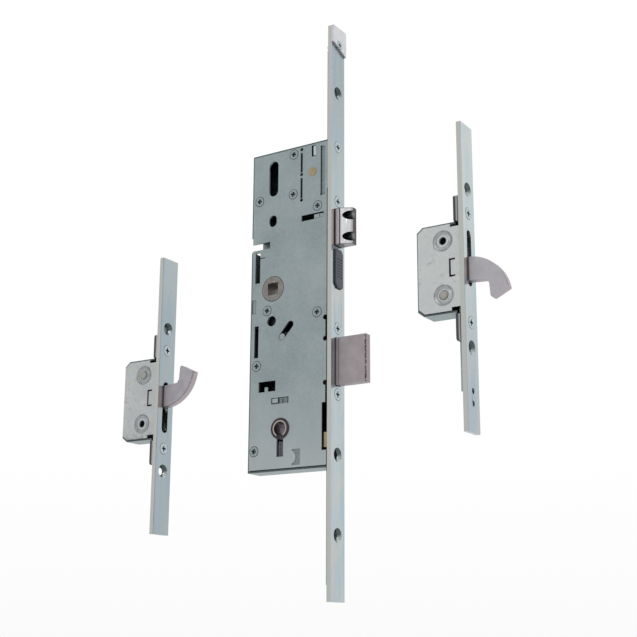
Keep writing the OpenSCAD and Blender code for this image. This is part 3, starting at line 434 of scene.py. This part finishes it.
def plated_sheet(name, dark=ZINC_DARK, light=ZINC_LIGHT, cloud=24 * MM):
    """The start of a zinc plated sheet: satin, with a fine spangle and faint cloudy passivation."""
    f = Finish(name, 0.85, 0.42)
    clouds = f.noise(cloud, 3)
    spangle = f.noise(1.3 * MM, 4, soft=0.6)
    return f, clouds, spangle, f.mottled(f.mean(clouds, spangle), dark, light)


def rolled_sheet(f, sheet, spangle, reach, roughest=0.50, wave=9 * MM, wave_depth=0.03 * MM):
    """The rest of a zinc plated sheet: painted shade in its hollows, satin sheen, fine grain and slow waves.
    """
    f.colour(f.shaded_in_hollows(sheet, reach))
    f.roughness(spangle, 0.36, roughest)
    f.bump(f.noise(0.35 * MM, 2), 0.02 * MM)
    f.bump(f.noise(wave, 1), wave_depth)
    return f.done()


def zinc_sheet(name, reach, posts=()):
    """Zinc plated sheet, which shows the swaged ends of posts on its +Y face."""
    f, _, spangle, sheet = plated_sheet(name)
    if posts:
        far = f.nearest(posts)
        back = f.facing((0, 1, 0), 0.8, 0.95)
        head = f.times(f.spread(far, 2.2 * MM, 1.9 * MM), back)
        line = f.times(f.ring(far, 2.25 * MM, 0.35 * MM), back)
        dimple = f.times(f.spread(far, 1.0 * MM, 0.5 * MM), back)
        sheet = f.blend(f.times(head, 0.35), sheet, ZINC_LIGHT)
        sheet = f.blend(f.times(f.maths("MAXIMUM", line, dimple), 0.9), sheet, ZINC_EDGE)
        f.bump(f.maths("SUBTRACT", head, dimple), 0.2 * MM)
    return rolled_sheet(f, sheet, spangle, reach)


def case_sheet():
    """The case cover: the same sheet, lighter towards its foot, with painted shade along the edges of its
    pressed fields and slots, painted light on their tabs, dark marks, and painted shade in its hollows."""
    f, _, spangle, sheet = plated_sheet("case_sheet")
    rough = f.spread(f.noise(0.9 * MM, 3), 0.35, 0.6, 0.6, 1.0)
    low_down = f.spread(f.along("Z"), -60 * MM, -114 * MM, 0.0, 0.55)
    sheet = f.blend(low_down, sheet, ZINC_PALE)
    # Painted shade and painted light on the pressed fields and slots, and dark marks
    for x, z, shade, share in COVER_MARKS_LIGHT_AND_SHADE:
        tinted_patch = f.patch(mm(*x), mm(*z), 0.25 * MM, share)
        sheet = f.blend(f.times(tinted_patch, rough), sheet, shade)
    outside_bite = f.spread(f.off_y_axis(FOOT_BITE), 4.3 * MM, 4.7 * MM)
    field = f.times(f.patch(*FOOT_FIELD, 0.3 * MM, 0.75), rough)
    sheet = f.blend(f.times(outside_bite, field), sheet, PRESSED_DARK)
    return rolled_sheet(f, sheet, spangle, 9 * MM)


def worn_cover():
    """The hook cases' lighter sheet, smudged grey by handling, with painted shade in rings round its pressed
    bosses and in its hollows.
    """
    f, clouds, spangle, sheet = plated_sheet("worn_cover", COVER_DARK, COVER_LIGHT, 11 * MM)
    sheet = f.blend(f.times(f.within("X", *UPPER_UNIT_X), 0.45), sheet, COVER_BRIGHT)
    blotches = f.spread(f.noise(4 * MM, 5, soft=0.65), 0.54, 0.74, 0.0, 0.6)
    sheet = f.blend(f.times(blotches, f.spread(clouds, 0.45, 0.6)), sheet, COVER_GRIME)
    ragged = f.spread(f.noise(2.5 * MM, 4), 0.42, 0.62)
    rubbed = f.times(f.patch(*LOWER_COVER_FOOT, 2 * MM, 0.6), ragged)
    sheet = f.blend(rubbed, sheet, COVER_GRIME)
    far = f.nearest(HOOK_BOSSES)
    uneven = f.spread(f.noise(3 * MM, 3), 0.35, 0.65, 0.55, 1.0)
    # Painted shade in the dished grooves round the bosses
    for radius, width, share in BOSS_SHADE_RINGS:
        mask = f.times(f.ring(far, radius, width), uneven)
        sheet = f.blend(f.times(mask, share), sheet, BOSS_SHADE)
    return rolled_sheet(f, sheet, spangle, 6 * MM, roughest=0.52, wave=8 * MM, wave_depth=0.04 * MM)


def folded_rim():
    """The sheet's rim: its faces towards the covers' side are darker, and its hollows are painted in shade.
    """
    f = Finish("folded_rim", 0.85, 0.42)
    spangle = f.noise(1.3 * MM, 4, soft=0.6)
    sheet = f.mottled(spangle, ZINC_DARK, ZINC_LIGHT)
    toward_covers = f.facing((0, -1, 0), 0.5, 0.9)
    f.colour(f.shaded_in_hollows(f.blend(toward_covers, sheet, ZINC_EDGE), 9 * MM))
    f.roughness(spangle, 0.38, 0.55)
    f.bump(f.noise(0.35 * MM, 2), 0.02 * MM)
    return f.done()


def screw_head():
    """The cover's screws: the sheet's own tone, with painted shade in their recesses and darker centres."""
    f = Finish("screw_head", 0.85, 0.4)
    grain = f.noise(0.8 * MM, 3)
    head = f.mottled(grain, ZINC_DARK, ZINC_LIGHT)
    centre_dark = f.spread(f.nearest(CASE_POSTS), 2.1 * MM, 1.3 * MM, 0.0, 0.85)
    uneven = f.spread(f.noise(0.9 * MM, 2), 0.35, 0.55, 0.65, 1.0)
    head = f.blend(f.times(centre_dark, uneven), head, PRESSED_DARK)
    f.colour(f.shaded_in_hollows(head, 3 * MM, 0.45, 0.95))
    f.roughness(grain, 0.34, 0.48)
    f.bump(grain, 0.01 * MM)
    return f.done()


def strip_screw():
    """The strip's screws: bright, with painted shade in their recesses and a dark line round the head."""
    f = Finish("strip_screw", 1.0, 0.24)
    grain = f.noise(0.8 * MM, 3)
    head = f.mottled(grain, STRIP_DARK, STRIP_LIGHT)
    rim = f.times(f.edges(0.4 * MM, 0.90, 0.995), f.spread(f.noise(2.5 * MM, 2), 0.40, 0.52))
    f.colour(f.shaded_in_hollows(f.blend(rim, head, ZINC_EDGE), 3 * MM, 0.45, 0.95))
    f.roughness(grain, 0.2, 0.3)
    f.bump(grain, 0.01 * MM)
    return f.done()


def reflected_strip_fades(f, front):
    """Painted reflection: each strip darker towards one of its ends, and the upper hook's lighter towards
    its top.
    """
    up = f.along("Z")
    for x, bright_at, darkest_at, share in STRIP_REFLECTION_FADES:
        # Painted reflection, darker towards one end of each strip
        darker_reflection = f.times(f.on_strip(x), f.spread(up, bright_at, darkest_at, 0.0, share))
        front = f.blend(darker_reflection, front, STRIP_REFLECTION_DARK)
    # Painted reflection, lighter up the upper hook's strip
    bright = f.times(f.within("X", *UPPER_UNIT_X), f.spread(up, -30 * MM, 20 * MM, 0.0, 0.3))
    return f.blend(bright, front, STRIP_REFLECTION_LIGHT)


def reflected_corners_and_bolts(f, front, uneven):
    """Painted reflections: the hook strips' dark front corners, and brown places beside the bolts, where the
    bolts are mirrored.
    """
    for x in HOOK_FRONTS:
        # Painted reflection, dark along the hook strips' front corners
        corner_reflection = f.times(f.within("Y", -8.2 * MM, -7.4 * MM, 0.3 * MM),
                         f.within("X", x - 0.6 * MM, x + 1 * MM, 0.1 * MM))
        corner_reflection = f.times(corner_reflection, f.spread(uneven, 0.3, 0.5, 0.75, 0.35))
        front = f.blend(corner_reflection, front, ZINC_EDGE)
    # Painted reflection of each bolt, brown on the strip beside it
    for x, z, reach in BOLT_REFLECTIONS:
        beside = f.times(f.within("Y", -9 * MM, reach, 0.5 * MM), f.within("Z", *z, 0.4 * MM))
        tinted_patch = f.times(f.times(beside, f.on_strip(x)), 0.75)
        front = f.blend(tinted_patch, front, STRIP_BOLT_REFLECTION)
    return front


def sunk_holes(f, front):
    """The countersunk mouths of the open holes, painted in shade but for the side that catches the light,
    which is painted lit.
    """
    sunk = f.facing((1, 0, 0), 0.95, 0.85)
    wall = f.blend(f.facing((1, -0.6, 1), 0.60, 0.98), HOLE_SHADE, HOLE_LIT)
    for x, z, radius in STRIP_HOLES:
        mouth = f.spread(f.off_x_axis((0, z)), radius + 0.05 * MM, radius - 0.15 * MM)
        inside = f.times(f.times(mouth, f.on_strip(x)), sunk)
        front = f.blend(f.times(inside, 0.88), front, wall)
    return front


def bright_zinc():
    """Bright zinc plated strip: glossy, with draw lines and bluish bands along its length, painted
    reflections, and painted shade in its holes and hollows.
    """
    f = Finish("bright_zinc", 1.0, 0.2)
    lines = f.noise(0.5 * MM, 3, f.stretched((1, 1, 0.02)))
    bands = f.noise(5 * MM, 2, f.stretched((1, 1, 0.06)))
    speckle = f.noise(1.1 * MM, 4, soft=0.6)
    tone = f.maths("ADD", f.times(bands, 0.6), f.times(lines, 0.2))
    tone = f.maths("ADD", tone, f.times(speckle, 0.2))
    front = f.mottled(tone, STRIP_DARK, STRIP_LIGHT, 0.38, 0.62)
    warm = f.noise(9 * MM, 3, f.stretched((1, 1, 0.35), (0.3, 0, 0)))
    front = f.blend(f.spread(warm, 0.46, 0.66, 0.0, 0.7), front, STRIP_WARM)
    front = reflected_strip_fades(f, front)
    front = reflected_corners_and_bolts(f, front, warm)
    front = f.blend(f.facing((0, -1, 0), 0.5, 0.9), front, STRIP_SIDE)
    front = sunk_holes(f, front)
    f.colour(f.shaded_in_hollows(front, 2.5 * MM, 0.22, 0.75))
    f.roughness(lines, 0.16, 0.27)
    f.bump(lines, 0.006 * MM)
    f.bump(f.noise(6 * MM, 1), 0.02 * MM)
    return f.done()


def sintered(name, roughness, cloud, dark, light):
    """The start of sintered steel with a nickel wash: a fine grain and faint clouds."""
    f = Finish(name, 0.8, roughness)
    grain = f.noise(0.6 * MM, 4, soft=0.65)
    clouds = f.noise(cloud, 2)
    return f, grain, f.mottled(f.mean(grain, clouds), dark, light, 0.36, 0.66)


def sintered_steel():
    """The deadbolt and the reversing pinion: satin, with a browner front, and painted shade along their
    chamfers, at the deadbolt's root and in their hollows.
    """
    f, grain, body = sintered("sintered_steel", 0.5, 7 * MM, SINTER_DARK, SINTER_LIGHT)
    body = f.blend(f.facing((1, 0, 0), 0.85, 0.97), body, SINTER_FRONT)
    # Painted shade along the chamfers
    chamfer_shade = f.times(f.facing((1, -1, 0), 0.93, 0.99), f.spread(f.noise(0.9 * MM, 2), 0.40, 0.52))
    body = f.blend(chamfer_shade, body, SINTER_SHADE)
    # Painted shade where the deadbolt leaves the strip
    root = f.within("X", CENTRE_FRONT - 0.1 * MM, CENTRE_FRONT + 0.5 * MM, 0.3 * MM)
    f.colour(f.shaded_in_hollows(f.blend(root, body, SINTER_SHADE), 1.5 * MM, 0.05, 0.5))
    f.roughness(grain, 0.42, 0.58)
    f.bump(grain, 0.03 * MM)
    return f.done()


def hook_steel():
    """The hooks: the same sintered steel, colder, with a lighter rim, and painted shade on their chamfers,
    at their roots and in their hollows.
    """
    f, grain, body = sintered("hook_steel", 0.48, 6 * MM, HOOK_DARK, HOOK_LIGHT)
    body = f.blend(f.times(f.within("X", *UPPER_UNIT_X), 0.32), body, HOOK_BRIGHT)
    # Painted shade where each hook leaves its strip
    for x in HOOK_FRONTS:
        root = f.within("X", x - 0.6 * MM, x + 0.9 * MM, 0.5 * MM)
        body = f.blend(f.times(root, 0.85), body, SINTER_SHADE)
    # Painted shade on faces turned part way from the covers' side: the chamfers
    face = f.facing((0, -1, 0), 0.80, 0.97)
    rim = f.facing((0, -1, 0), 0.35, 0.10)
    body = f.blend(rim, f.blend(face, SINTER_SHADE, body), HOOK_RIM)
    f.colour(f.shaded_in_hollows(body, 1.5 * MM, 0.05, 0.5))
    f.roughness(grain, 0.40, 0.55)
    f.bump(grain, 0.03 * MM)
    return f.done()


def satin_metal(name, light, dark, low, high, reach=6 * MM):
    """Turned or cast metal with a satin face, a fine grain and painted shade in its hollows."""
    f = Finish(name, 1.0, (low + high) / 2)
    grain = f.noise(0.4 * MM, 3)
    clouds = f.noise(5 * MM, 2)
    f.colour(f.shaded_in_hollows(f.mottled(f.mean(grain, clouds), dark, light, 0.35, 0.65), reach))
    f.roughness(grain, low, high)
    f.bump(grain, 0.01 * MM)
    return f.done()


def latch_metal():
    """The latch bolt: satin, drawn along its height, with painted shade in its two bores, along its steps
    and edges, over its brownish tip and in its hollows.
    """
    f = Finish("latch_metal", 0.95, 0.3)
    lines = f.noise(0.5 * MM, 3, f.stretched((1, 1, 0.05)))
    body = f.mottled(lines, SATIN_DARK, SATIN_LIGHT, 0.35, 0.65)
    body = f.blend(f.within("X", CENTRE_FRONT, 48.9 * MM), body, LATCH_STEP)
    # Painted shade along the steps and edges
    for axis, span, share in LATCH_SHADE_LINES:
        body = f.blend(f.times(f.within(axis, *span, 0.25 * MM), share), body, LATCH_TIP_SHADE)
    out = f.along("X")
    # Painted shade over the curved tip
    body = f.blend(f.spread(out, 54.6 * MM, 56.6 * MM, 0.0, 0.8), body, LATCH_TIP_SHADE)
    # Painted shade in the bores
    for at in LATCH_BORES:
        bore_shade = f.times(f.spread(f.off_x_axis(at), 3.12 * MM, 3.04 * MM), f.spread(out, 49.2 * MM, 49.3 * MM))
        depth = f.spread(out, 53.5 * MM, 56 * MM, 0.97, 0.3)
        body = f.blend(f.times(bore_shade, depth), body, BORE_SHADE)
    # Painted shade on the tip's front
    tip = f.facing((1, 0, 0), 0.90, 0.99)
    f.colour(f.shaded_in_hollows(f.blend(tip, body, LATCH_TIP_SHADE), 2.5 * MM, 0.25, 0.75))
    f.roughness(lines, 0.24, 0.36)
    f.bump(lines, 0.01 * MM)
    return f.done()


def pivot_steel():
    """The domed pivot heads: turned steel, with painted shade down their sides, leaving the top lighter, and
    painted shade in their hollows.
    """
    f = Finish("pivot_steel", 0.95, 0.34)
    grain = f.noise(0.5 * MM, 3)
    head = f.mottled(grain, PIVOT_DARK, PIVOT_LIGHT)
    # Painted shade down the dome's sides
    side = f.facing((0, -1, 0), 0.975, 0.90)
    f.colour(f.shaded_in_hollows(f.blend(side, head, ZINC_EDGE), 3 * MM, 0.1, 0.5))
    f.roughness(grain, 0.28, 0.42)
    f.bump(grain, 0.02 * MM)
    return f.done()


def guide_steel():
    """The wall beside the keyway: plain rolled steel with a purplish oil tint."""
    f = Finish("guide_steel", 0.3, 0.5)
    grain = f.noise(0.8 * MM, 3)
    f.colour(f.mottled(grain, GUIDE_DARK, GUIDE_LIGHT))
    f.roughness(grain, 0.42, 0.58)
    f.bump(grain, 0.02 * MM)
    return f.done()


def dark_steel():
    """Phosphated steel, lighter along its edges from wear and painted highlight, with a painted highlight in
    a line behind the hook strips and painted shade in its hollows.
    """
    f = Finish("dark_steel", 0.8, 0.45)
    grain = f.noise(0.5 * MM, 3)
    body = f.mottled(grain, BLACK_DARK, BLACK_LIGHT, 0.35, 0.65)
    # Wear and painted highlight along the edges
    worn = f.times(f.edges(0.35 * MM, 0.90, 0.995), f.spread(grain, 0.3, 0.6))
    body = f.blend(worn, body, EDGE_WEAR_AND_HIGHLIGHT)
    # A painted highlight in a line behind each hook strip
    for x in HOOK_FRONTS:
        rubbed = f.within("X", x - 5.45 * MM, x - 4.55 * MM, 0.3 * MM)
        body = f.blend(f.times(rubbed, f.spread(grain, 0.2, 0.5, 0.4, 0.8)), body, EDGE_WEAR_AND_HIGHLIGHT)
    f.colour(f.shaded_in_hollows(body, 6 * MM, 0.08, 0.5))
    f.roughness(grain, 0.38, 0.56)
    f.bump(grain, 0.02 * MM)
    return f.done()


def turned(name, centre, light, dark, pitch, low, high):
    """The start of a face turned on a lathe: rings round centre, with faint clouds."""
    f = Finish(name, 0.9, (low + high) / 2)
    far = f.off_y_axis(centre)
    made = f.add("ShaderNodeTexNoise", Scale=1 / pitch, Detail=2.0)
    made.noise_dimensions = "1D"
    f.feed(made.inputs["W"], far)
    rings = made.outputs["Fac"]
    clouds = f.noise(3 * MM, 2)
    f.roughness(rings, low, high)
    f.bump(rings, 0.02 * MM)
    return f, far, f.mottled(f.mean(rings, clouds), dark, light)


def follower_metal():
    """The follower's hub: a warm grey turned face with a darker outer edge, and painted shade in its
    hollows.
    """
    f, far, face = turned("follower_metal", SPINDLE, HUB_LIGHT, HUB_DARK, 1.1 * MM, 0.34, 0.5)
    rim = f.spread(far, 7.9 * MM, 8.4 * MM)
    f.colour(f.shaded_in_hollows(f.blend(rim, face, HUB_RIM), 12 * MM, 0.0, 0.5, HUB_HOLLOW_SHADE))
    return f.done()


def bush_metal():
    """The key bush: dark machined steel with one bright turned ring, its outer ring dark, partly as painted
    shade, painted light on the wall of its slot, and painted shade in its hollows.
    """
    f, far, face = turned("bush_metal", KEY, BUSH_LIGHT, BUSH_DARK, 1.5 * MM, 0.28, 0.42)
    # Outer ring painted dark, partly as shade
    face = f.blend(f.spread(far, 5.2 * MM, 5.6 * MM), face, BUSH_DARK)
    ring = f.times(f.ring(far, 4.75 * MM, 0.55 * MM), f.facing((0, -1, 0), 0.7, 0.95))
    face = f.shaded_in_hollows(f.blend(ring, face, BUSH_RING), 8 * MM, 0.0, 0.4)
    # Painted light on the slot's wall, which lies in shade
    slot = f.within("Z", KEY[1] - 7 * MM, KEY[1] - 4.4 * MM, 0.4 * MM)
    wall = f.times(f.facing((1, 0, 0), 0.8, 0.95), slot)
    f.colour(f.blend(f.times(wall, 0.7), face, GUIDE_DARK))
    return f.done()


def moulded_plastic():
    """Dark moulded plastic with a faint spark eroded grain and painted shade in its hollows."""
    f = Finish("moulded_plastic", 0.0, 0.42)
    grain = f.noise(0.35 * MM, 3)
    f.colour(f.shaded_in_hollows(f.mottled(grain, PLASTIC_DARK, PLASTIC_LIGHT, 0.35, 0.65), 3 * MM))
    f.roughness(grain, 0.36, 0.5)
    f.bump(grain, 0.03 * MM)
    return f.done()


# Lengths given here are how far each finish's painted shade in hollows reaches; the tray's, the spring
# steel's and the sleeve's reach deep, so that the inside of the case is painted in shade
finishes = {
    "zinc_sheet": zinc_sheet("zinc_sheet", 9 * MM),
    "tray_sheet": zinc_sheet("tray_sheet", 24 * MM, CASE_POSTS),
    "pivot_steel": pivot_steel(),
    "case_sheet": case_sheet(),
    "screw_head": screw_head(),
    "strip_screw": strip_screw(),
    "hook_steel": hook_steel(),
    "guide_steel": guide_steel(),
    "folded_rim": folded_rim(),
    "worn_cover": worn_cover(),
    "bright_zinc": bright_zinc(),
    "sintered_steel": sintered_steel(),
    "cast_zinc": satin_metal("cast_zinc", SATIN_LIGHT, SATIN_DARK, 0.24, 0.36),
    "latch_metal": latch_metal(),
    "dark_steel": dark_steel(),
    "spring_steel": satin_metal("spring_steel", SPRING_LIGHT, SPRING_DARK, 0.30, 0.42, 20 * MM),
    "sleeve_steel": satin_metal("sleeve_steel", SPRING_DARK, BLACK_LIGHT, 0.32, 0.46, 26 * MM),
    "brass": satin_metal("brass", BRASS_LIGHT, BRASS_DARK, 0.32, 0.46),
    "moulded_plastic": moulded_plastic(),
    "follower_metal": follower_metal(),
    "bush_metal": bush_metal(),
}

# Nodes whose finish is closer than their record's slot says, by the end of their name
OWN_FINISH = {
    "case_cover": "case_sheet",
    "case_tray": "tray_sheet",
    "case_rim": "folded_rim",
    "case_screws": "screw_head",
    "antithrust_pin": "screw_head",
    "faceplate_screws": "strip_screw",
    "lug_screws": "strip_screw",
    "joint_screw": "strip_screw",
    "joint_strap": "cast_zinc",
    "latch_bolt": "latch_metal",
    "fixing_sleeve": "sleeve_steel",
    "hook_tray": "folded_rim",
    "hook_cover": "worn_cover",
    "hook_bolt": "hook_steel",
    "hook_pivot": "pivot_steel",
    "hook_rod": "zinc_sheet",
}

# Width of the rounded edge of each kind of piece in mm, by the end of its name
EDGE = {
    "case_cover": 0.12,
    "case_tray": 0.2,
    "case_rim": 0.2,
    "hook_cover": 0.15,
    "hook_tray": 0.2,
    "faceplate": 0.25,
    "joint_strap": 0.2,
    "latch_bolt": 0.3,
    "deadbolt": 0.25,
    "hook_bolt": 0.6,
    "lugs": 0.4,
    "trigger_pad": 0.3,
    "follower": 0.2,
    "key_bush": 0.25,
}
PLAIN_EDGE = 0.12


def by_ending(name, table, otherwise):
    """The table's value for the first of its keys that name ends with."""
    return next((value for key, value in table.items() if name.endswith(key)), otherwise)


def soften(obj, width, flatten=False):
    """Joins the imported faces, and flat ones into one where flatten is set, and rounds the sharp edges."""
    weld = obj.modifiers.new("weld", "WELD")
    weld.merge_threshold = WELD_REACH
    if flatten:
        flat = obj.modifiers.new("flatten", "DECIMATE")
        flat.decimate_type = "DISSOLVE"
        flat.angle_limit = math.radians(FLAT_ANGLE)
    bevel = obj.modifiers.new("edge", "BEVEL")
    bevel.width = width
    bevel.segments = 2
    bevel.limit_method = "ANGLE"
    bevel.angle_limit = math.radians(SHARP_ANGLE)
    bevel.use_clamp_overlap = True
    bevel.harden_normals = True


def dress_nodes():
    """Gives each CAD node its finish and its rounded edges."""
    slots = {row["node"]: row["material_slot"] for row in frame["record"]["subparts"]}
    for name, obj in nodes.items():
        obj.data.materials.clear()
        obj.data.materials.append(finishes[by_ending(name, OWN_FINISH, slots[name])])
        soften(obj, by_ending(name, EDGE, PLAIN_EDGE) * MM, name.endswith("hook_tray"))


def new_piece(name, points, faces, finish):
    mesh = bpy.data.meshes.new(name)
    mesh.from_pydata(points, [], faces)
    mesh.materials.append(finishes[finish])
    piece = bpy.data.objects.new(name, mesh)
    bpy.context.scene.collection.objects.link(piece)
    return piece


def climb(share, turns, closed):
    """How far along its length a coil is at that share of its wire; closed is what an end turn climbs."""
    end = 1 / turns
    if share < end:
        return share * closed / end
    if share > 1 - end:
        return 1 - (1 - share) * closed / end
    return closed + (share - end) / (1 - 2 * end) * (1 - 2 * closed)


def wire_along(centres, outward, wire):
    """Points and faces of a round wire with flat ends along centres; outward points off the coil's axis."""
    last = len(centres) - 1
    points = []
    for i, at in enumerate(centres):
        ahead = (centres[min(i + 1, last)] - centres[max(i - 1, 0)]).normalized()
        out = (outward[i] - ahead * outward[i].dot(ahead)).normalized()
        up = ahead.cross(out)
        for k in range(WIRE_SIDES):
            turn = 2 * math.pi * k / WIRE_SIDES
            points.append(at + (out * math.cos(turn) + up * math.sin(turn)) * wire / 2)
    faces = [tuple(range(WIRE_SIDES - 1, -1, -1)), tuple(last * WIRE_SIDES + k for k in range(WIRE_SIDES))]
    for i in range(last):
        for k in range(WIRE_SIDES):
            a = i * WIRE_SIDES + k
            b = i * WIRE_SIDES + (k + 1) % WIRE_SIDES
            faces.append((a, b, b + WIRE_SIDES, a + WIRE_SIDES))
    return points, faces


def coil(name, node, axis, radius, wire, turns):
    """A round wire spring in the place of a faceted one, with its end turns laid close."""
    low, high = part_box(node)
    middle = (low + high) / 2
    anchor = middle.copy()
    anchor[axis] = low[axis]
    along = Vector([1.0 if i == axis else 0.0 for i in range(3)])
    side = Vector((0, 1, 0))
    across = along.cross(side)
    travel = high[axis] - low[axis] - wire
    count = turns * COIL_STEPS
    centres = []
    outward = []
    for i in range(count + 1):
        angle = 2 * math.pi * i / COIL_STEPS
        out = side * math.cos(angle) + across * math.sin(angle)
        rise = wire / 2 + travel * climb(i / count, turns, CLOSED_PITCH * wire / travel)
        centres.append(anchor + along * rise + out * radius)
        outward.append(out)
    spring = new_piece(name, *wire_along(centres, outward, wire), "spring_steel")
    spring.data.shade_smooth()
    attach(spring, "root")
    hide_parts(node)
    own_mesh(spring)


def make_springs():
    coil("handle_spring_wire", "handle_spring", 2, 2.0 * MM, 0.8 * MM, 14)
    coil("latch_spring_wire", "latch_spring", 0, 3.4 * MM, 0.8 * MM, 7)
    coil("trigger_spring_wire", "trigger_spring", 0, 2.0 * MM, 0.7 * MM, 4)


def make_lever_springs():
    """Leaf springs in the place of the flat wedges. They bow a little."""
    points = []
    faces = []
    for near, far in LEAF_SIDES:
        first = len(points)
        last = first + 4 * LEAF_STEPS
        for i in range(LEAF_STEPS + 1):
            share = i / LEAF_STEPS
            low = LEAF_FOOT.lerp(LEAF_TIP, share)
            rise = LEAF_BOW * math.sin(math.pi * share)
            for y, up in ((near, 0), (far, 0), (far, LEAF_THICK), (near, LEAF_THICK)):
                points.append((low.x, y, low.y + rise + up))
        for a in range(first, last, 4):
            faces += [(a + k, a + 4 + k, a + 4 + (k + 1) % 4, a + (k + 1) % 4) for k in range(4)]
        faces += [(first, first + 1, first + 2, first + 3), (last + 3, last + 2, last + 1, last)]
    leaves = new_piece("lever_spring_leaves", points, faces, "spring_steel")
    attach(leaves, "levers")
    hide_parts("lever_springs")
    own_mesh(leaves)


def make_key_guide():
    """A thin folded wall inside the case, seen through the keyway beside the levers."""
    points = [(GUIDE_X + x, y, z) for z in (GUIDE_FOOT, GUIDE_TOP) for x, y in GUIDE_SECTION]
    n = len(GUIDE_SECTION)
    faces = [tuple(range(n)), tuple(range(2 * n - 1, n - 1, -1))]
    faces += [(i, i + n, (i + 1) % n + n, (i + 1) % n) for i in range(n)]
    guide = new_piece("key_guide", points, faces, "guide_steel")
    soften(guide, GUIDE_EDGE)
    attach(guide, "root")


def make_camera():
    yaw, pitch, roll = (math.radians(angle) for angle in (CAMERA_YAW, CAMERA_PITCH, CAMERA_ROLL))
    forward = Vector((-math.sin(yaw) * math.cos(pitch), math.cos(yaw) * math.cos(pitch), math.sin(pitch)))
    level = Vector((math.cos(yaw), math.sin(yaw), 0))
    above = level.cross(forward)
    right = level * math.cos(roll) + above * math.sin(roll)
    up = above * math.cos(roll) - level * math.sin(roll)
    data = bpy.data.cameras.new("camera")
    data.sensor_width = SENSOR_MM
    data.lens = FOCAL_PIXELS / FRAME_PIXELS * SENSOR_MM
    data.clip_start = NEAREST_SEEN
    camera = bpy.data.objects.new("camera", data)
    camera.matrix_world = Matrix.Translation(CAMERA_AT) @ Matrix((right, up, -forward)).transposed().to_4x4()
    bpy.context.scene.collection.objects.link(camera)
    bpy.context.scene.camera = camera


def make_world():
    """A white room, a little darker towards its floor and on the side the case covers face."""
    world = bpy.data.worlds.new("room")
    world.use_nodes = True
    tree = world.node_tree
    direction = tree.nodes.new("ShaderNodeTexCoord")
    parts = tree.nodes.new("ShaderNodeSeparateXYZ")
    tree.links.new(direction.outputs["Generated"], parts.inputs[0])
    shade = None
    for axis, dark_at, white_at, tone in ROOM_SHADES:
        reach = tree.nodes.new("ShaderNodeMapRange")
        reach.inputs["From Min"].default_value = dark_at
        reach.inputs["From Max"].default_value = white_at
        tree.links.new(parts.outputs[axis], reach.inputs["Value"])
        mixed = tree.nodes.new("ShaderNodeMix")
        mixed.data_type = "RGBA"
        tree.links.new(reach.outputs["Result"], mixed.inputs["Factor"])
        mixed.inputs[6].default_value = tone
        mixed.inputs[7].default_value = (1, 1, 1, 1)
        if shade is not None:
            tree.links.new(shade, mixed.inputs[7])
        shade = mixed.outputs[2]
    background = tree.nodes["Background"]
    tree.links.new(shade, background.inputs["Color"])
    background.inputs["Strength"].default_value = 1.0
    bpy.context.scene.world = world


def area_light(name, at, width, power):
    data = bpy.data.lights.new(name, "AREA")
    data.shape = "DISK"
    data.size = width
    data.energy = power
    light = bpy.data.objects.new(name, data)
    light.location = at
    light.rotation_euler = (-Vector(at)).to_track_quat("-Z", "Y").to_euler()
    bpy.context.scene.collection.objects.link(light)


def make_stage():
    """A pale floor well below the part, which hangs in the air as the photograph shows it."""
    bpy.ops.mesh.primitive_plane_add(size=FLOOR_WIDTH, location=(0, 0, FLOOR_HEIGHT))
    floor = bpy.context.object
    floor.name = "floor"
    paint = Finish("floor", 0.0, 0.8)
    paint.colour(paint.blend(paint.noise(0.5), FLOOR_DARK, FLOOR_LIGHT))
    floor.data.materials.append(paint.done())


dress_nodes()
make_springs()
make_lever_springs()
make_key_guide()
make_camera()
make_world()
for light_values in LIGHTS:
    area_light(*light_values)
make_stage()
bpy.context.scene.view_settings.view_transform = "Standard"
